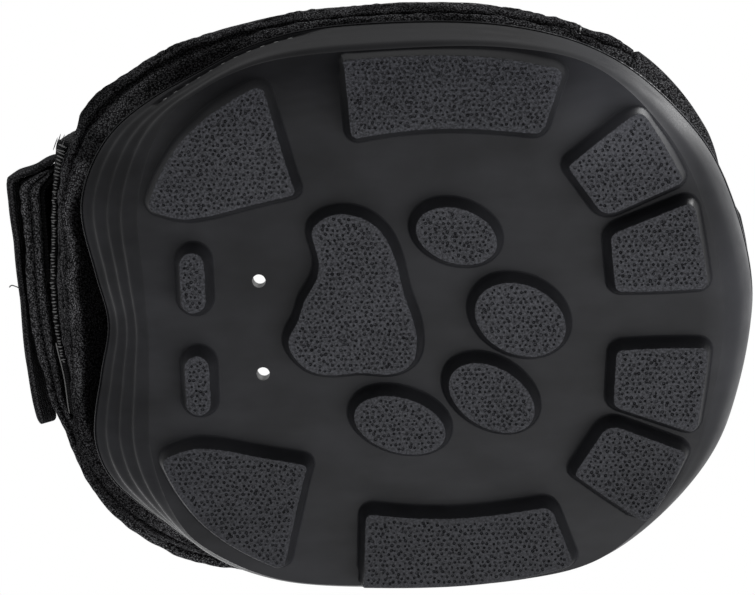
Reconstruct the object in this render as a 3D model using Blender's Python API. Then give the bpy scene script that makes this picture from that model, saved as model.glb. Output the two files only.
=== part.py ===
"""Hoof boot for a horse: moulded rubber outsole, padded mesh upper, front flaps, heel strap.

Frame: +X towards the toe, +Y towards the boot's left side, +Z up. The origin lies on the
ground plane, under the large central tread pad. All lengths are in metres.
"""
import math

import bmesh
import bpy
import numpy as np
from mathutils import Vector

MM = 0.001

# Outsole, plan sizes
TOE_REACH = 100.0 * MM
HEEL_REACH = 78.0 * MM
HALF_WIDTH = 76.0 * MM

# Outsole, heights and walls
LUG_HEIGHT = 6.5 * MM
FLOOR_THICKNESS = 5.5 * MM
RIM_HEIGHT = 30.0 * MM
HEEL_RIM_HEIGHT = 19.0 * MM
FLOOR_WALL = 5.5 * MM
MID_WALL = 4.0 * MM
RIM_WALL = 2.6 * MM

# Tread lugs
LUG_DRAFT = 1.7 * MM
LUG_FILLET = 1.2 * MM
LUG_ROOT = 2.0 * MM
HEEL_BLOCK_LENGTH = 16.0 * MM
HEEL_BLOCK_WIDTH = 6.6 * MM
HEEL_BLOCK_X = -47.5 * MM
HEEL_BLOCK_Y = 13.6 * MM
DRAIN_DIAMETER = 3.5 * MM
DRAIN_X = -30.8 * MM
DRAIN_Y = 12.4 * MM

# Upper, shape
SIDE_TOP = 84.0 * MM
HEEL_TOP = 76.0 * MM
SIDE_BULGE = 3.7 * MM
TOE_LEAN = 21.0 * MM
HEEL_OVERHANG = 11.0 * MM
RIM_STEP = 0.6 * MM

# Upper, layers
CLEARANCE = 0.3 * MM
LINING_GAP = 0.5 * MM
PANEL_THICKNESS = 3.0 * MM
LINING_THICKNESS = 3.0 * MM
COLLAR_WIDTH = 12.0 * MM
COLLAR_HEIGHT = 15.0 * MM
BADGE_THICKNESS = 1.4 * MM
TONGUE_THICKNESS = 4.3 * MM
FLAP_THICKNESS = 2.4 * MM
FASTENER_THICKNESS = 1.0 * MM
LOOP_TAPE_THICKNESS = 1.6 * MM
HOOK_TAPE_THICKNESS = 1.2 * MM
STRAP_THICKNESS = 5.0 * MM
WEBBING_THICKNESS = 1.8 * MM
PULL_LOOP_STANDOFF = 5.1 * MM

# One overrun serves every cut
CUT_OVERRUN = 1.0 * MM

# Facets
RING_POINTS = 84
SECTION_POINTS = 10

# Half outlines, toe to heel: x as a share of the toe or heel reach, y of the half width
rim_shares = (
    (1.000, 0.000), (0.930, 0.410), (0.800, 0.672), (0.610, 0.872), (0.360, 0.976), (0.040, 1.000),
    (-0.359, 0.966), (-0.692, 0.856), (-0.910, 0.672), (-1.000, 0.440), (-0.962, 0.185), (-0.936, 0.000),
)
plate_shares = (
    (0.885, 0.000), (0.840, 0.362), (0.745, 0.632), (0.575, 0.855), (0.345, 0.932), (0.040, 0.939),
    (-0.346, 0.908), (-0.602, 0.790), (-0.718, 0.651), (-0.782, 0.428), (-0.776, 0.185), (-0.769, 0.000),
)
upper_shares = (
    (1.000, 0.000), (0.930, 0.410), (0.800, 0.672), (0.610, 0.872), (0.360, 0.976), (0.040, 1.000),
    (-0.315, 0.968), (-0.630, 0.875), (-0.868, 0.690), (-0.978, 0.440), (-0.998, 0.200), (-1.000, 0.000),
)

# Wall of the outsole: height share, then how far each zone has moved from plate to rim
wall_profile_shares = (
    (0.00, 0.00, 0.00, 0.00), (0.10, 0.40, 0.30, 0.16), (0.16, 0.52, 0.37, 0.29),
    (0.34, 0.74, 0.50, 0.35), (0.41, 0.80, 0.55, 0.53), (0.58, 0.90, 0.69, 0.59),
    (0.65, 0.93, 0.74, 0.77), (0.82, 0.97, 0.88, 0.83), (0.89, 0.985, 0.93, 0.97),
    (1.00, 1.00, 1.00, 1.00),
)
inner_height_shares = (0.0, 0.12, 0.5, 0.88, 1.0)
inner_walls = (FLOOR_WALL + CLEARANCE, MID_WALL + CLEARANCE, MID_WALL, RIM_WALL + CLEARANCE, RIM_WALL)

# Upper wall: height share above the rim, then shares of toe lean, side bulge and heel overhang
upper_profile_shares = (
    (0.00, 0.00, 0.00, 0.00), (0.07, -0.01, 0.36, 0.35), (0.18, 0.01, 1.00, 0.75),
    (0.40, -0.14, 0.90, 1.00), (0.65, -0.45, 0.50, 1.00), (0.85, -0.76, 0.05, 0.98),
    (1.00, -0.98, -0.25, 0.92), (1.40, -1.56, -0.70, 0.80),
)

# Tread lug faces, left half: x as a share of the toe or heel reach, y of the half width
side_lug_shares = (
    (-0.082, 0.900), (-0.088, 0.918), (0.060, 0.925), (0.200, 0.924), (0.340, 0.907), (0.472, 0.868),
    (0.490, 0.851), (0.440, 0.668), (0.423, 0.648), (0.320, 0.666), (0.190, 0.680), (0.060, 0.672),
    (-0.054, 0.653), (-0.068, 0.668),
)
heel_lug_shares = (
    (-0.256, 0.480), (-0.268, 0.468), (-0.420, 0.436), (-0.540, 0.406), (-0.640, 0.396),
    (-0.731, 0.430), (-0.742, 0.455), (-0.700, 0.556), (-0.628, 0.665), (-0.530, 0.750),
    (-0.436, 0.806), (-0.372, 0.838), (-0.346, 0.830), (-0.310, 0.680), (-0.272, 0.530),
)
toe_outer_lug_shares = (
    (0.498, 0.538), (0.503, 0.520), (0.574, 0.384), (0.592, 0.370), (0.614, 0.372), (0.780, 0.462),
    (0.790, 0.480), (0.748, 0.588), (0.700, 0.690), (0.684, 0.708), (0.664, 0.702), (0.580, 0.622),
)
toe_inner_lug_shares = (
    (0.612, 0.112), (0.624, 0.101), (0.730, 0.098), (0.838, 0.102), (0.850, 0.118), (0.838, 0.240),
    (0.820, 0.376), (0.808, 0.396), (0.790, 0.392), (0.618, 0.308), (0.602, 0.292), (0.606, 0.200),
)
pad_shares = (
    (-0.205, -0.356), (-0.150, -0.396), (-0.080, -0.398), (-0.010, -0.366), (0.030, -0.306),
    (0.054, -0.218), (0.068, -0.120), (0.092, -0.020), (0.098, 0.070), (0.078, 0.134),
    (0.024, 0.162), (-0.070, 0.150), (-0.160, 0.158), (-0.240, 0.138), (-0.294, 0.076),
    (-0.300, 0.022), (-0.266, -0.036), (-0.244, -0.104), (-0.198, -0.180), (-0.190, -0.246),
    (-0.206, -0.310),
)
# Oval toes of the pad: centre x, centre y, long and short half axes, turn in degrees
oval_shares = (
    (0.208, -0.312, 0.143, 0.095, 20.0),
    (0.366, -0.016, 0.164, 0.122, 27.0),
    (0.287, 0.254, 0.163, 0.106, 34.0),
    (0.046, 0.340, 0.164, 0.098, 19.0),
)

# Runs along the outline, as shares of the half perimeter from the toe
zone_toe_shares = (0.12, 0.40)
zone_heel_shares = (0.62, 0.86)
rim_drop_shares = (0.64, 0.90)
bulge_start_shares = (0.08, 0.25)
bulge_end_shares = (0.70, 0.95)
NORMAL_SPAN_SHARE = 0.012
VAMP_SHARE = 0.262
SIDE_FRONT_SHARE = 0.266
SIDE_REAR_SHARE = 0.838
HEEL_FRONT_SHARE = 0.842
TONGUE_SHARE = 0.190
LINING_FRONT_SHARE = 0.206
COLLAR_FRONT_SHARE = 0.292
COLLAR_REAR_SHARE = 0.806
FLAP_HINGE_SHARE = 0.272
UNDER_FLAP_TIP_SHARE = -0.030
OVER_FLAP_TIP_SHARE = 0.180
OVER_RAMP_SHARES = (-0.130, -0.060)
FLAP_TAPE_MARGIN_SHARE = 0.014
PULL_TAB_GAP_SHARE = 0.00175
PULL_TAB_SHARE = 0.030
BADGE_HALF_SHARE = 0.112
ANCHOR_FRONT_SHARE = 0.610
ANCHOR_LIFT_SHARE = 0.700
STRAP_HINGE_SHARE = 0.836
STRAP_TIP_SHARE = 1.136
TAPE_LEFT_SHARE = 0.882
TAPE_RIGHT_SHARE = 1.164
HOOK_TAPE_START_SHARE = 1.020
PULL_LOOP_CENTRE_SHARE = 1.008
PULL_LOOP_HALF_SHARE = 0.124

# Heights on the upper, as shares of the wall above the rim
vamp_height_shares = (0.0, 0.07, 0.18, 0.40, 0.54)
panel_height_shares = (0.0, 0.07, 0.18, 0.40, 0.65, 0.85, 1.0)
tuck_height_shares = (0.6, 1.0)
flap_height_shares = (0.46, 0.97)
strap_height_shares = (0.42, 0.88)
badge_height_shares = (0.09, 0.43)
tongue_foot_height_shares = (0.08, 0.22, 0.38, 0.545)
tongue_height_shares = (0.551, 0.72, 0.87, 1.02, 1.17, 1.27, 1.32)
TAPE_HEIGHT_SHARE = 0.8
PULL_TAB_HEIGHT_SHARE = 0.5
PULL_LOOP_HEIGHT_SHARE = 0.72

# Outlines of the tips: width of the tongue row by row, height of each tip's last columns
tongue_width_shares = (1.0, 1.0, 1.0, 1.0, 0.96, 0.86, 0.66)
flap_tip_shares = (0.97, 0.88, 0.66)
flap_tape_tip_shares = (0.94, 0.8)
pull_tab_tip_shares = (0.8,)
strap_tip_shares = (0.96, 0.86)
# Pull loop: place from its left end (-1) to its right end (1), share of its full stand-off
pull_loop_lift_shares = ((-1.0, 0.0), (-0.2, 0.0), (0.3, 0.4), (0.835, 1.0), (1.0, 0.0))
strap_tape_tip_shares = (0.9,)
square_tip_shares = (1.0,)

# Thickness of a soft piece at its border, next to it, and inside
soft_edge_shares = (0.42, 0.86, 1.0)
firm_edge_shares = (0.8, 1.0, 1.0)
round_end_shares = (0.45, 0.84, 1.0)


def clear_scene():
    for old in list(bpy.data.objects):
        bpy.data.objects.remove(old, do_unlink=True)


def material(name, colour, roughness, metallic=0.0):
    made = bpy.data.materials.new(name)
    made.use_nodes = True
    shader = made.node_tree.nodes["Principled BSDF"]
    shader.inputs["Base Color"].default_value = (*colour, 1.0)
    shader.inputs["Roughness"].default_value = roughness
    shader.inputs["Metallic"].default_value = metallic
    return made


def smoothstep(low, high, value):
    share = np.clip((np.asarray(value, float) - low) / (high - low), 0.0, 1.0)
    return share * share * (3.0 - 2.0 * share)


def place(share_x, share_y, heel_reach=HEEL_REACH):
    reach = TOE_REACH if share_x >= 0.0 else heel_reach
    return share_x * reach, share_y * HALF_WIDTH


def half_curve(shares, heel_reach=HEEL_REACH):
    """Control points of a half outline, with one mirrored neighbour at each end."""
    points = [place(*pair, heel_reach) for pair in shares]
    before = (points[1][0], -points[1][1])
    after = (points[-2][0], -points[-2][1])
    return np.array([before, *points, after])


def spline(controls, step):
    """Smooth curve through the control points; step counts from the first real one."""
    step = np.clip(np.asarray(step, float), 0.0, len(controls) - 3.0)
    first = np.minimum(step.astype(int), len(controls) - 4)
    t = (step - first)[..., None]
    p0, p1, p2, p3 = (controls[first + k] for k in range(4))
    bend = 2.0 * p0 - 5.0 * p1 + 4.0 * p2 - p3
    return 0.5 * (2.0 * p1 + (p2 - p0) * t + bend * t ** 2 + (3.0 * p1 - p0 - 3.0 * p2 + p3) * t ** 3)


RIM_CURVE = half_curve(rim_shares)
PLATE_CURVE = half_curve(plate_shares)
UPPER_CURVE = half_curve(upper_shares, HEEL_REACH + HEEL_OVERHANG)
STEPS = np.linspace(0.0, len(rim_shares) - 1.0, 600)
RIM_RUN = np.concatenate(
    ([0.0], np.cumsum(np.linalg.norm(np.diff(spline(RIM_CURVE, STEPS), axis=0), axis=1)))
)


def wrap(w):
    """Share along the outline: 0 at the toe, +1 and -1 at the heel, plus on the left side."""
    return (np.asarray(w, float) + 1.0) % 2.0 - 1.0


def outline(curve, w):
    w = wrap(w)
    step = np.interp(np.abs(w) * RIM_RUN[-1], RIM_RUN, STEPS)
    points = spline(curve, step)
    points[..., 1] *= np.where(w < 0.0, -1.0, 1.0)
    return points


def outward(w, curve=RIM_CURVE):
    """Unit normal of an outline, pointing away from the boot."""
    w = np.asarray(w, float)
    run = outline(curve, w + NORMAL_SPAN_SHARE) - outline(curve, w - NORMAL_SPAN_SHARE)
    normal = np.stack((run[..., 1], -run[..., 0]), axis=-1)
    return normal / np.linalg.norm(normal, axis=-1, keepdims=True)


def rim_height(w):
    drop = smoothstep(*rim_drop_shares, np.abs(wrap(w)))
    return RIM_HEIGHT + (HEEL_RIM_HEIGHT - RIM_HEIGHT) * drop


def top_height(w):
    drop = smoothstep(*rim_drop_shares, np.abs(wrap(w)))
    return SIDE_TOP + (HEEL_TOP - SIDE_TOP) * drop


def zones(w):
    """Weights of the toe, the side and the heel at a place on the outline."""
    run = np.abs(wrap(w))
    toe = 1.0 - smoothstep(*zone_toe_shares, run)
    heel = smoothstep(*zone_heel_shares, run)
    return toe, 1.0 - toe - heel, heel


def shell_point(w, height_share):
    """Outer face of the outsole's wall, from the tread plate (0) to the rim (1)."""
    table = np.array(wall_profile_shares)
    moved = 0.0
    for weight, column in zip(zones(w), table.T[1:]):
        moved = moved + weight * np.interp(height_share, table[:, 0], column)
    flat = outline(PLATE_CURVE, w)
    flat = flat + (outline(RIM_CURVE, w) - flat) * np.asarray(moved)[..., None]
    z = LUG_HEIGHT + (rim_height(w) - LUG_HEIGHT) * height_share
    return np.concatenate((flat, np.asarray(z)[..., None]), axis=-1)


def shift(points, w, distance, curve=RIM_CURVE):
    """Points moved out along an outline's normal."""
    moved = points.copy()
    moved[..., :2] += outward(w, curve) * np.asarray(distance)[..., None]
    return moved


def wall_thickness(height_share):
    return np.interp(height_share, (0.0, 0.5, 1.0), (FLOOR_WALL, MID_WALL, RIM_WALL))


def tucked_point(w, height_share, depth):
    """A place inside the outsole's wall; depth is measured outwards from the upper's face."""
    w = np.asarray(w, float)
    inset = wall_thickness(height_share) + CLEARANCE
    return shift(shell_point(w, height_share), w, np.asarray(depth - inset) + 0.0 * w)


def upper_point(w, height_share, depth):
    """A place on the upper above the rim; depth 0 is its outer face, plus is outwards."""
    w = np.asarray(w, float)
    table = np.array(upper_profile_shares)
    toe_column, side_column, heel_column = (
        np.interp(height_share, table[:, 0], column) for column in table.T[1:]
    )
    run = np.abs(wrap(w))
    toe = 1.0 - smoothstep(*zone_toe_shares, run)
    side = smoothstep(*bulge_start_shares, run) - smoothstep(*bulge_end_shares, run)
    stand = toe * TOE_LEAN * toe_column + side * SIDE_BULGE * side_column
    seat = np.interp(height_share, table[:2, 0], (RIM_WALL + CLEARANCE, 0.0))
    low = rim_height(w) + RIM_STEP
    z = low + (top_height(w) - low) * height_share
    flat = outline(RIM_CURVE, w)
    flat = flat + (outline(UPPER_CURVE, w) - flat) * np.asarray(heel_column)[..., None]
    flat = np.concatenate((flat, np.asarray(z)[..., None]), axis=-1)
    return shift(flat, w, stand - seat + depth, UPPER_CURVE)


def mesh_object(name, vertices, faces, finish, sharp_degrees=40.0):
    mesh = bpy.data.meshes.new(name)
    mesh.from_pydata([tuple(v) for v in vertices], [], faces)
    shape = bmesh.new()
    shape.from_mesh(mesh)
    bmesh.ops.recalc_face_normals(shape, faces=shape.faces)
    shape.to_mesh(mesh)
    shape.free()
    mesh.shade_smooth()
    mesh.set_sharp_from_angle(angle=math.radians(sharp_degrees))
    mesh.materials.append(finish)
    made = bpy.data.objects.new(name, mesh)
    bpy.context.scene.collection.objects.link(made)
    return made


def ring_faces(rings, points):
    """Quads between closed rings that follow each other."""
    faces = []
    for ring in range(rings - 1):
        low = ring * points
        high = low + points
        for k in range(points):
            after = (k + 1) % points
            faces.append((low + k, low + after, high + after, high + k))
    return faces


def lofted(name, rings, finish):
    """Closed solid through a stack of closed rings with flat caps."""
    points = len(rings[0])
    vertices = np.concatenate(rings)
    faces = ring_faces(len(rings), points)
    last = len(vertices) - points
    faces.append(tuple(range(points)))
    faces.append(tuple(last + k for k in range(points)))
    return mesh_object(name, vertices, faces, finish)


def sheet_solid(name, outer, inner, finish):
    """Closed solid between two grids of points with the same rows and columns."""
    rows, columns = outer.shape[:2]
    count = rows * columns
    vertices = np.concatenate((outer.reshape(count, 3), inner.reshape(count, 3)))
    faces = []
    for row in range(rows - 1):
        for column in range(columns - 1):
            a = row * columns + column
            quad = (a, a + 1, a + columns + 1, a + columns)
            faces.append(quad)
            faces.append(tuple(count + k for k in reversed(quad)))
    border = [column for column in range(columns)]
    border += [row * columns + columns - 1 for row in range(1, rows)]
    border += [(rows - 1) * columns + column for column in range(columns - 2, -1, -1)]
    border += [row * columns for row in range(rows - 2, 0, -1)]
    for k, here in enumerate(border):
        there = border[(k + 1) % len(border)]
        faces.append((there, here, count + here, count + there))
    return mesh_object(name, vertices, faces, finish)


def border_scale(count, edge_shares):
    """Thickness along one direction of a piece: drawn in at both ends."""
    scale = np.full(count, edge_shares[2])
    for k in (0, 1):
        if count > 2 * k + 1:
            scale[k] = edge_shares[k]
            scale[count - 1 - k] = edge_shares[k]
    return scale


def layer(name, finish, w_run, columns, low, high, edge_shares, tuck=(), heights=(), widths=None):
    """A panel of the upper between two depths, along a run of the outline."""
    w = np.linspace(*w_run, columns)
    centre = (w_run[0] + w_run[1]) / 2.0
    widths = widths or (1.0,) * (len(tuck) + len(heights))
    across = border_scale(columns, edge_shares)
    along = border_scale(len(tuck) + len(heights), edge_shares)
    outer = []
    inner = []
    rows = [(tucked_point, share) for share in tuck] + [(upper_point, share) for share in heights]
    for (point, share), scale, width in zip(rows, along, widths):
        middle = (low + high) / 2.0
        half = (high - low) / 2.0 * np.minimum(scale, across)
        row_w = centre + (w - centre) * width
        outer.append(point(row_w, share, middle + half))
        inner.append(point(row_w, share, middle - half))
    return sheet_solid(name, np.array(outer), np.array(inner), finish)


def height_rows(low, high):
    """Rows of a piece on the upper: its two borders and the folds of the wall between them."""
    folds = [row[0] for row in upper_profile_shares if low < row[0] < high]
    return (low, *folds, high)


def tapered_layer(name, finish, w_run, columns, low, high, height_run, edge_shares, tip_shares):
    """A flap or tape whose height shrinks towards its tip."""
    w = np.linspace(*w_run, columns)
    low = np.interp(w, *low) if isinstance(low, tuple) else np.full(columns, low)
    high = np.interp(w, *high) if isinstance(high, tuple) else np.full(columns, high)
    middle_height = (height_run[0] + height_run[1]) / 2.0
    taper = np.ones(columns)
    taper[-len(tip_shares):] = tip_shares
    rows = height_rows(*height_run)
    across = border_scale(columns, edge_shares)
    along = border_scale(len(rows), edge_shares)
    middle = (low + high) / 2.0
    outer = []
    inner = []
    for row, scale in zip(rows, along):
        half = (high - low) / 2.0 * np.minimum(scale, across)
        height = middle_height + (row - middle_height) * taper
        outer.append(upper_point(w, height, middle + half))
        inner.append(upper_point(w, height, middle - half))
    return sheet_solid(name, np.array(outer), np.array(inner), finish)


def tread_outline(shares, mirror):
    """A lug's face in plan, on the left side or mirrored to the right."""
    points = np.array([place(*pair) for pair in shares])
    if mirror:
        points[:, 1] *= -1.0
        points = points[::-1]
    return points


def smooth_closed(points, per_span):
    """Closed smooth curve through points, with a few steps to each span."""
    padded = np.concatenate((points[-1:], points, points[:2]))
    steps = np.arange(len(points) * per_span) / per_span
    return spline(padded, steps)


def area_sign(points):
    after = np.roll(points, -1, axis=0)
    return math.copysign(1.0, np.sum(points[:, 0] * after[:, 1] - after[:, 0] * points[:, 1]))


def grown(points, distance):
    """A closed outline grown outwards by a distance, square to each side."""
    before = points - np.roll(points, 1, axis=0)
    after = np.roll(points, -1, axis=0) - points
    sign = area_sign(points)
    normals = []
    for run in (before, after):
        normal = np.stack((run[:, 1], -run[:, 0]), axis=1) * sign
        normals.append(normal / np.linalg.norm(normal, axis=1, keepdims=True))
    middle = normals[0] + normals[1]
    middle /= np.linalg.norm(middle, axis=1, keepdims=True)
    reach = distance / np.sum(middle * normals[0], axis=1, keepdims=True)
    return points + middle * reach


def at_height(points, z):
    return np.column_stack((points, np.full(len(points), z)))


def lug(name, face, finish):
    """One tread lug: flat face on the ground, drafted wall, fillet into the plate."""
    wall_top = LUG_HEIGHT - LUG_FILLET
    foot = grown(face, LUG_DRAFT + LUG_FILLET)
    rings = [
        at_height(face, 0.0),
        at_height(grown(face, LUG_DRAFT), wall_top),
        at_height(foot, LUG_HEIGHT),
        at_height(foot, LUG_HEIGHT + LUG_ROOT),
    ]
    return lofted(name, rings, finish)


def ellipse(centre, half_long, half_short, degrees, points):
    angle = np.linspace(0.0, 2.0 * math.pi, points, endpoint=False)
    turn = math.radians(degrees)
    u = half_long * np.cos(angle)
    v = half_short * np.sin(angle)
    x = centre[0] + u * math.cos(turn) - v * math.sin(turn)
    y = centre[1] + u * math.sin(turn) + v * math.cos(turn)
    return np.column_stack((x, y))


def stadium(centre, length, width, points):
    """Round-ended block in plan, its length across the boot."""
    radius = width / 2.0
    straight = length / 2.0 - radius
    angle = (np.arange(points) + 0.5) * 2.0 * math.pi / points
    y = np.where(np.sin(angle) >= 0.0, straight, -straight)
    return np.column_stack((centre[0] + radius * np.cos(angle), centre[1] + y + radius * np.sin(angle)))


def tread_lugs(finish):
    """Every lug of the tread as a solid of its own, before the union."""
    made = []
    for shares in (side_lug_shares, heel_lug_shares, toe_outer_lug_shares, toe_inner_lug_shares):
        for mirror in (False, True):
            made.append(lug("lug", tread_outline(shares, mirror), finish))
    made.append(lug("lug", smooth_closed(tread_outline(pad_shares, False), 2), finish))
    for x, y, long_half, short_half, degrees in oval_shares:
        centre = place(x, y)
        sizes = (long_half * HALF_WIDTH, short_half * HALF_WIDTH)
        made.append(lug("lug", ellipse(centre, *sizes, degrees, 2 * SECTION_POINTS), finish))
    for side in (-1.0, 1.0):
        centre = (HEEL_BLOCK_X, side * HEEL_BLOCK_Y)
        made.append(lug("lug", stadium(centre, HEEL_BLOCK_LENGTH, HEEL_BLOCK_WIDTH, 16), finish))
    return made


def drain_cutters(finish):
    made = []
    low = LUG_HEIGHT - CUT_OVERRUN
    high = LUG_HEIGHT + FLOOR_THICKNESS + CUT_OVERRUN
    radius = DRAIN_DIAMETER / 2.0
    for side in (-1.0, 1.0):
        hole = ellipse((DRAIN_X, side * DRAIN_Y), radius, radius, 0.0, 16)
        made.append(lofted("drain", [at_height(hole, low), at_height(hole, high)], finish))
    return made


def combine(target, tools, operation):
    """Apply one Boolean for each tool and remove the tools."""
    for tool in tools:
        step = target.modifiers.new("join", "BOOLEAN")
        step.operation = operation
        step.solver = "EXACT"
        step.object = tool
        bpy.context.view_layer.update()
        shaped = bpy.data.meshes.new_from_object(target.evaluated_get(bpy.context.evaluated_depsgraph_get()))
        target.modifiers.clear()
        target.data = shaped
        bpy.data.objects.remove(tool, do_unlink=True)


def outsole(finish):
    """Moulded cup: tread plate, stepped heel, flared wall, thin rim, lugs and drains."""
    w = np.arange(RING_POINTS) * 2.0 / RING_POINTS
    rings = [shell_point(w, row[0]) for row in wall_profile_shares]
    floor = LUG_HEIGHT + FLOOR_THICKNESS
    inner = []
    for share in reversed(inner_height_shares):
        z = floor + (rim_height(w) - floor) * share
        height_share = (z - LUG_HEIGHT) / (rim_height(w) - LUG_HEIGHT)
        ring = np.array([shell_point(place_w, h) for place_w, h in zip(w, height_share)])
        thickness = np.interp(share, inner_height_shares, inner_walls)
        inner.append(shift(ring, w, np.full(len(w), -thickness)))
    sole = lofted("outsole", rings + inner, finish)
    combine(sole, tread_lugs(finish), "UNION")
    combine(sole, drain_cutters(finish), "DIFFERENCE")
    sole.data.shade_smooth()
    sole.data.set_sharp_from_angle(angle=math.radians(28.0))
    return sole


def roll(name, finish, w_run, stations):
    """A padded roll along the top of the upper, rounded at both ends."""
    w = np.linspace(*w_run, stations)
    scale = np.ones(stations)
    for k in (0, 1):
        scale[k] = round_end_shares[k]
        scale[stations - 1 - k] = round_end_shares[k]
    middle = -(PANEL_THICKNESS + LINING_GAP + LINING_THICKNESS) / 2.0
    angle = np.arange(SECTION_POINTS) * 2.0 * math.pi / SECTION_POINTS
    rings = []
    for place_w, size in zip(w, scale):
        half_width = COLLAR_WIDTH / 2.0 * size
        half_height = COLLAR_HEIGHT / 2.0 * size
        ring = []
        for turn in angle:
            point = upper_point(place_w, 1.0, middle + half_width * math.cos(turn))
            point[2] += CLEARANCE + COLLAR_HEIGHT / 2.0 + half_height * math.sin(turn)
            ring.append(point)
        rings.append(np.array(ring))
    return lofted(name, rings, finish)


def lining_depths():
    high = -(PANEL_THICKNESS + LINING_GAP)
    return high - LINING_THICKNESS, high


def tongue_depths():
    high = -(PANEL_THICKNESS + LINING_GAP)
    return high - TONGUE_THICKNESS, high


def flap_stack():
    """Depths of the closed front flaps, from the upper's face outwards."""
    under = (CLEARANCE, CLEARANCE + FLAP_THICKNESS)
    loop = (under[1] + CLEARANCE, under[1] + CLEARANCE + FASTENER_THICKNESS)
    hook = (loop[1] + CLEARANCE, loop[1] + CLEARANCE + FASTENER_THICKNESS)
    over = (hook[1] + CLEARANCE, hook[1] + CLEARANCE + FLAP_THICKNESS)
    return under, loop, hook, over


def strap_stack():
    """Depths of the layers behind the heel, from the heel panel's face outwards."""
    tape = (CLEARANCE, CLEARANCE + LOOP_TAPE_THICKNESS)
    hook = (tape[1] + CLEARANCE, tape[1] + CLEARANCE + HOOK_TAPE_THICKNESS)
    strap = (hook[1] + CLEARANCE, hook[1] + CLEARANCE + STRAP_THICKNESS)
    return tape, hook, strap


def uppers(mesh_cloth, woven_cloth):
    """Outer panels: toe vamp, two sides and the heel."""
    depths = (-PANEL_THICKNESS, 0.0)
    layer("toe_vamp", woven_cloth, (-VAMP_SHARE, VAMP_SHARE), 15, *depths, firm_edge_shares,
          tuck_height_shares, vamp_height_shares)
    for name, side in (("upper_left", 1.0), ("upper_right", -1.0)):
        run = (side * SIDE_FRONT_SHARE, side * SIDE_REAR_SHARE)
        layer(name, mesh_cloth, run, 17, *depths, firm_edge_shares, tuck_height_shares, panel_height_shares)
    run = (HEEL_FRONT_SHARE, 2.0 - HEEL_FRONT_SHARE)
    layer("heel_panel", mesh_cloth, run, 13, *depths, firm_edge_shares, tuck_height_shares,
          panel_height_shares)


def linings(padding):
    """Soft inner panels behind the outer ones."""
    depths = lining_depths()
    for name, side in (("lining_left", 1.0), ("lining_right", -1.0)):
        run = (side * LINING_FRONT_SHARE, side * SIDE_REAR_SHARE)
        layer(name, padding, run, 13, *depths, soft_edge_shares, tuck_height_shares, panel_height_shares)
    run = (HEEL_FRONT_SHARE, 2.0 - HEEL_FRONT_SHARE)
    layer("heel_pad", padding, run, 11, *depths, soft_edge_shares, tuck_height_shares, panel_height_shares)


def collars(mesh_cloth):
    """Padded rolls along the top edge."""
    roll("collar_left", mesh_cloth, (COLLAR_FRONT_SHARE, COLLAR_REAR_SHARE), 15)
    roll("collar_right", mesh_cloth, (-COLLAR_FRONT_SHARE, -COLLAR_REAR_SHARE), 15)
    gap_share = HEEL_FRONT_SHARE - SIDE_REAR_SHARE
    front = COLLAR_REAR_SHARE + gap_share
    roll("collar_rear", mesh_cloth, (front, 2.0 - front), 13)


def badge(leather):
    """Plain leather patch on the toe, just above the rim."""
    depths = (CLEARANCE, CLEARANCE + BADGE_THICKNESS)
    layer("toe_badge", leather, (-BADGE_HALF_SHARE, BADGE_HALF_SHARE), 9, *depths, firm_edge_shares,
          (), height_rows(*badge_height_shares))


def tongue_pieces(mesh_cloth):
    """Padded tongue: a foot sewn inside the vamp, and the part that tips forward."""
    depths = tongue_depths()
    run = (-TONGUE_SHARE, TONGUE_SHARE)
    layer("tongue_foot", mesh_cloth, run, 9, *depths, soft_edge_shares, (), tongue_foot_height_shares)
    layer("tongue", mesh_cloth, run, 9, *depths, soft_edge_shares, (), tongue_height_shares,
          tongue_width_shares)


def flaps(woven_cloth, hook_tape, loop_tape, webbing):
    """Two front flaps that close over the tongue, with their hook and loop tapes."""
    under, loop, hook, over = flap_stack()
    tapered_layer("under_flap", woven_cloth, (FLAP_HINGE_SHARE, UNDER_FLAP_TIP_SHARE), 11, *under,
                  flap_height_shares, firm_edge_shares, flap_tip_shares)
    ramp = (-FLAP_HINGE_SHARE, *OVER_RAMP_SHARES, OVER_FLAP_TIP_SHARE)
    low = (ramp, (under[0], under[0], over[0], over[0]))
    high = (ramp, (under[1], under[1], over[1], over[1]))
    tapered_layer("over_flap", woven_cloth, (-FLAP_HINGE_SHARE, OVER_FLAP_TIP_SHARE), 15, low, high,
                  flap_height_shares, firm_edge_shares, flap_tip_shares)
    middle = sum(flap_height_shares) / 2.0
    half = (flap_height_shares[1] - flap_height_shares[0]) / 2.0 * TAPE_HEIGHT_SHARE
    heights = (middle - half, middle + half)
    start = UNDER_FLAP_TIP_SHARE + FLAP_TAPE_MARGIN_SHARE
    stop = OVER_FLAP_TIP_SHARE - FLAP_TAPE_MARGIN_SHARE
    tapered_layer("flap_loop_tape", loop_tape, (stop, start), 7, *loop, heights, firm_edge_shares,
                  flap_tape_tip_shares)
    tapered_layer("flap_hook_tape", hook_tape, (start, stop), 7, *hook, heights, firm_edge_shares,
                  flap_tape_tip_shares)
    tab_half = half * PULL_TAB_HEIGHT_SHARE
    tab = (middle - tab_half, middle + tab_half)
    inner = over[0] + (FLAP_THICKNESS - WEBBING_THICKNESS) / 2.0
    start = OVER_FLAP_TIP_SHARE + PULL_TAB_GAP_SHARE
    run = (start, start + PULL_TAB_SHARE)
    tapered_layer("flap_pull_tab", webbing, run, 4, inner, inner + WEBBING_THICKNESS, tab,
                  firm_edge_shares, pull_tab_tip_shares)


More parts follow.
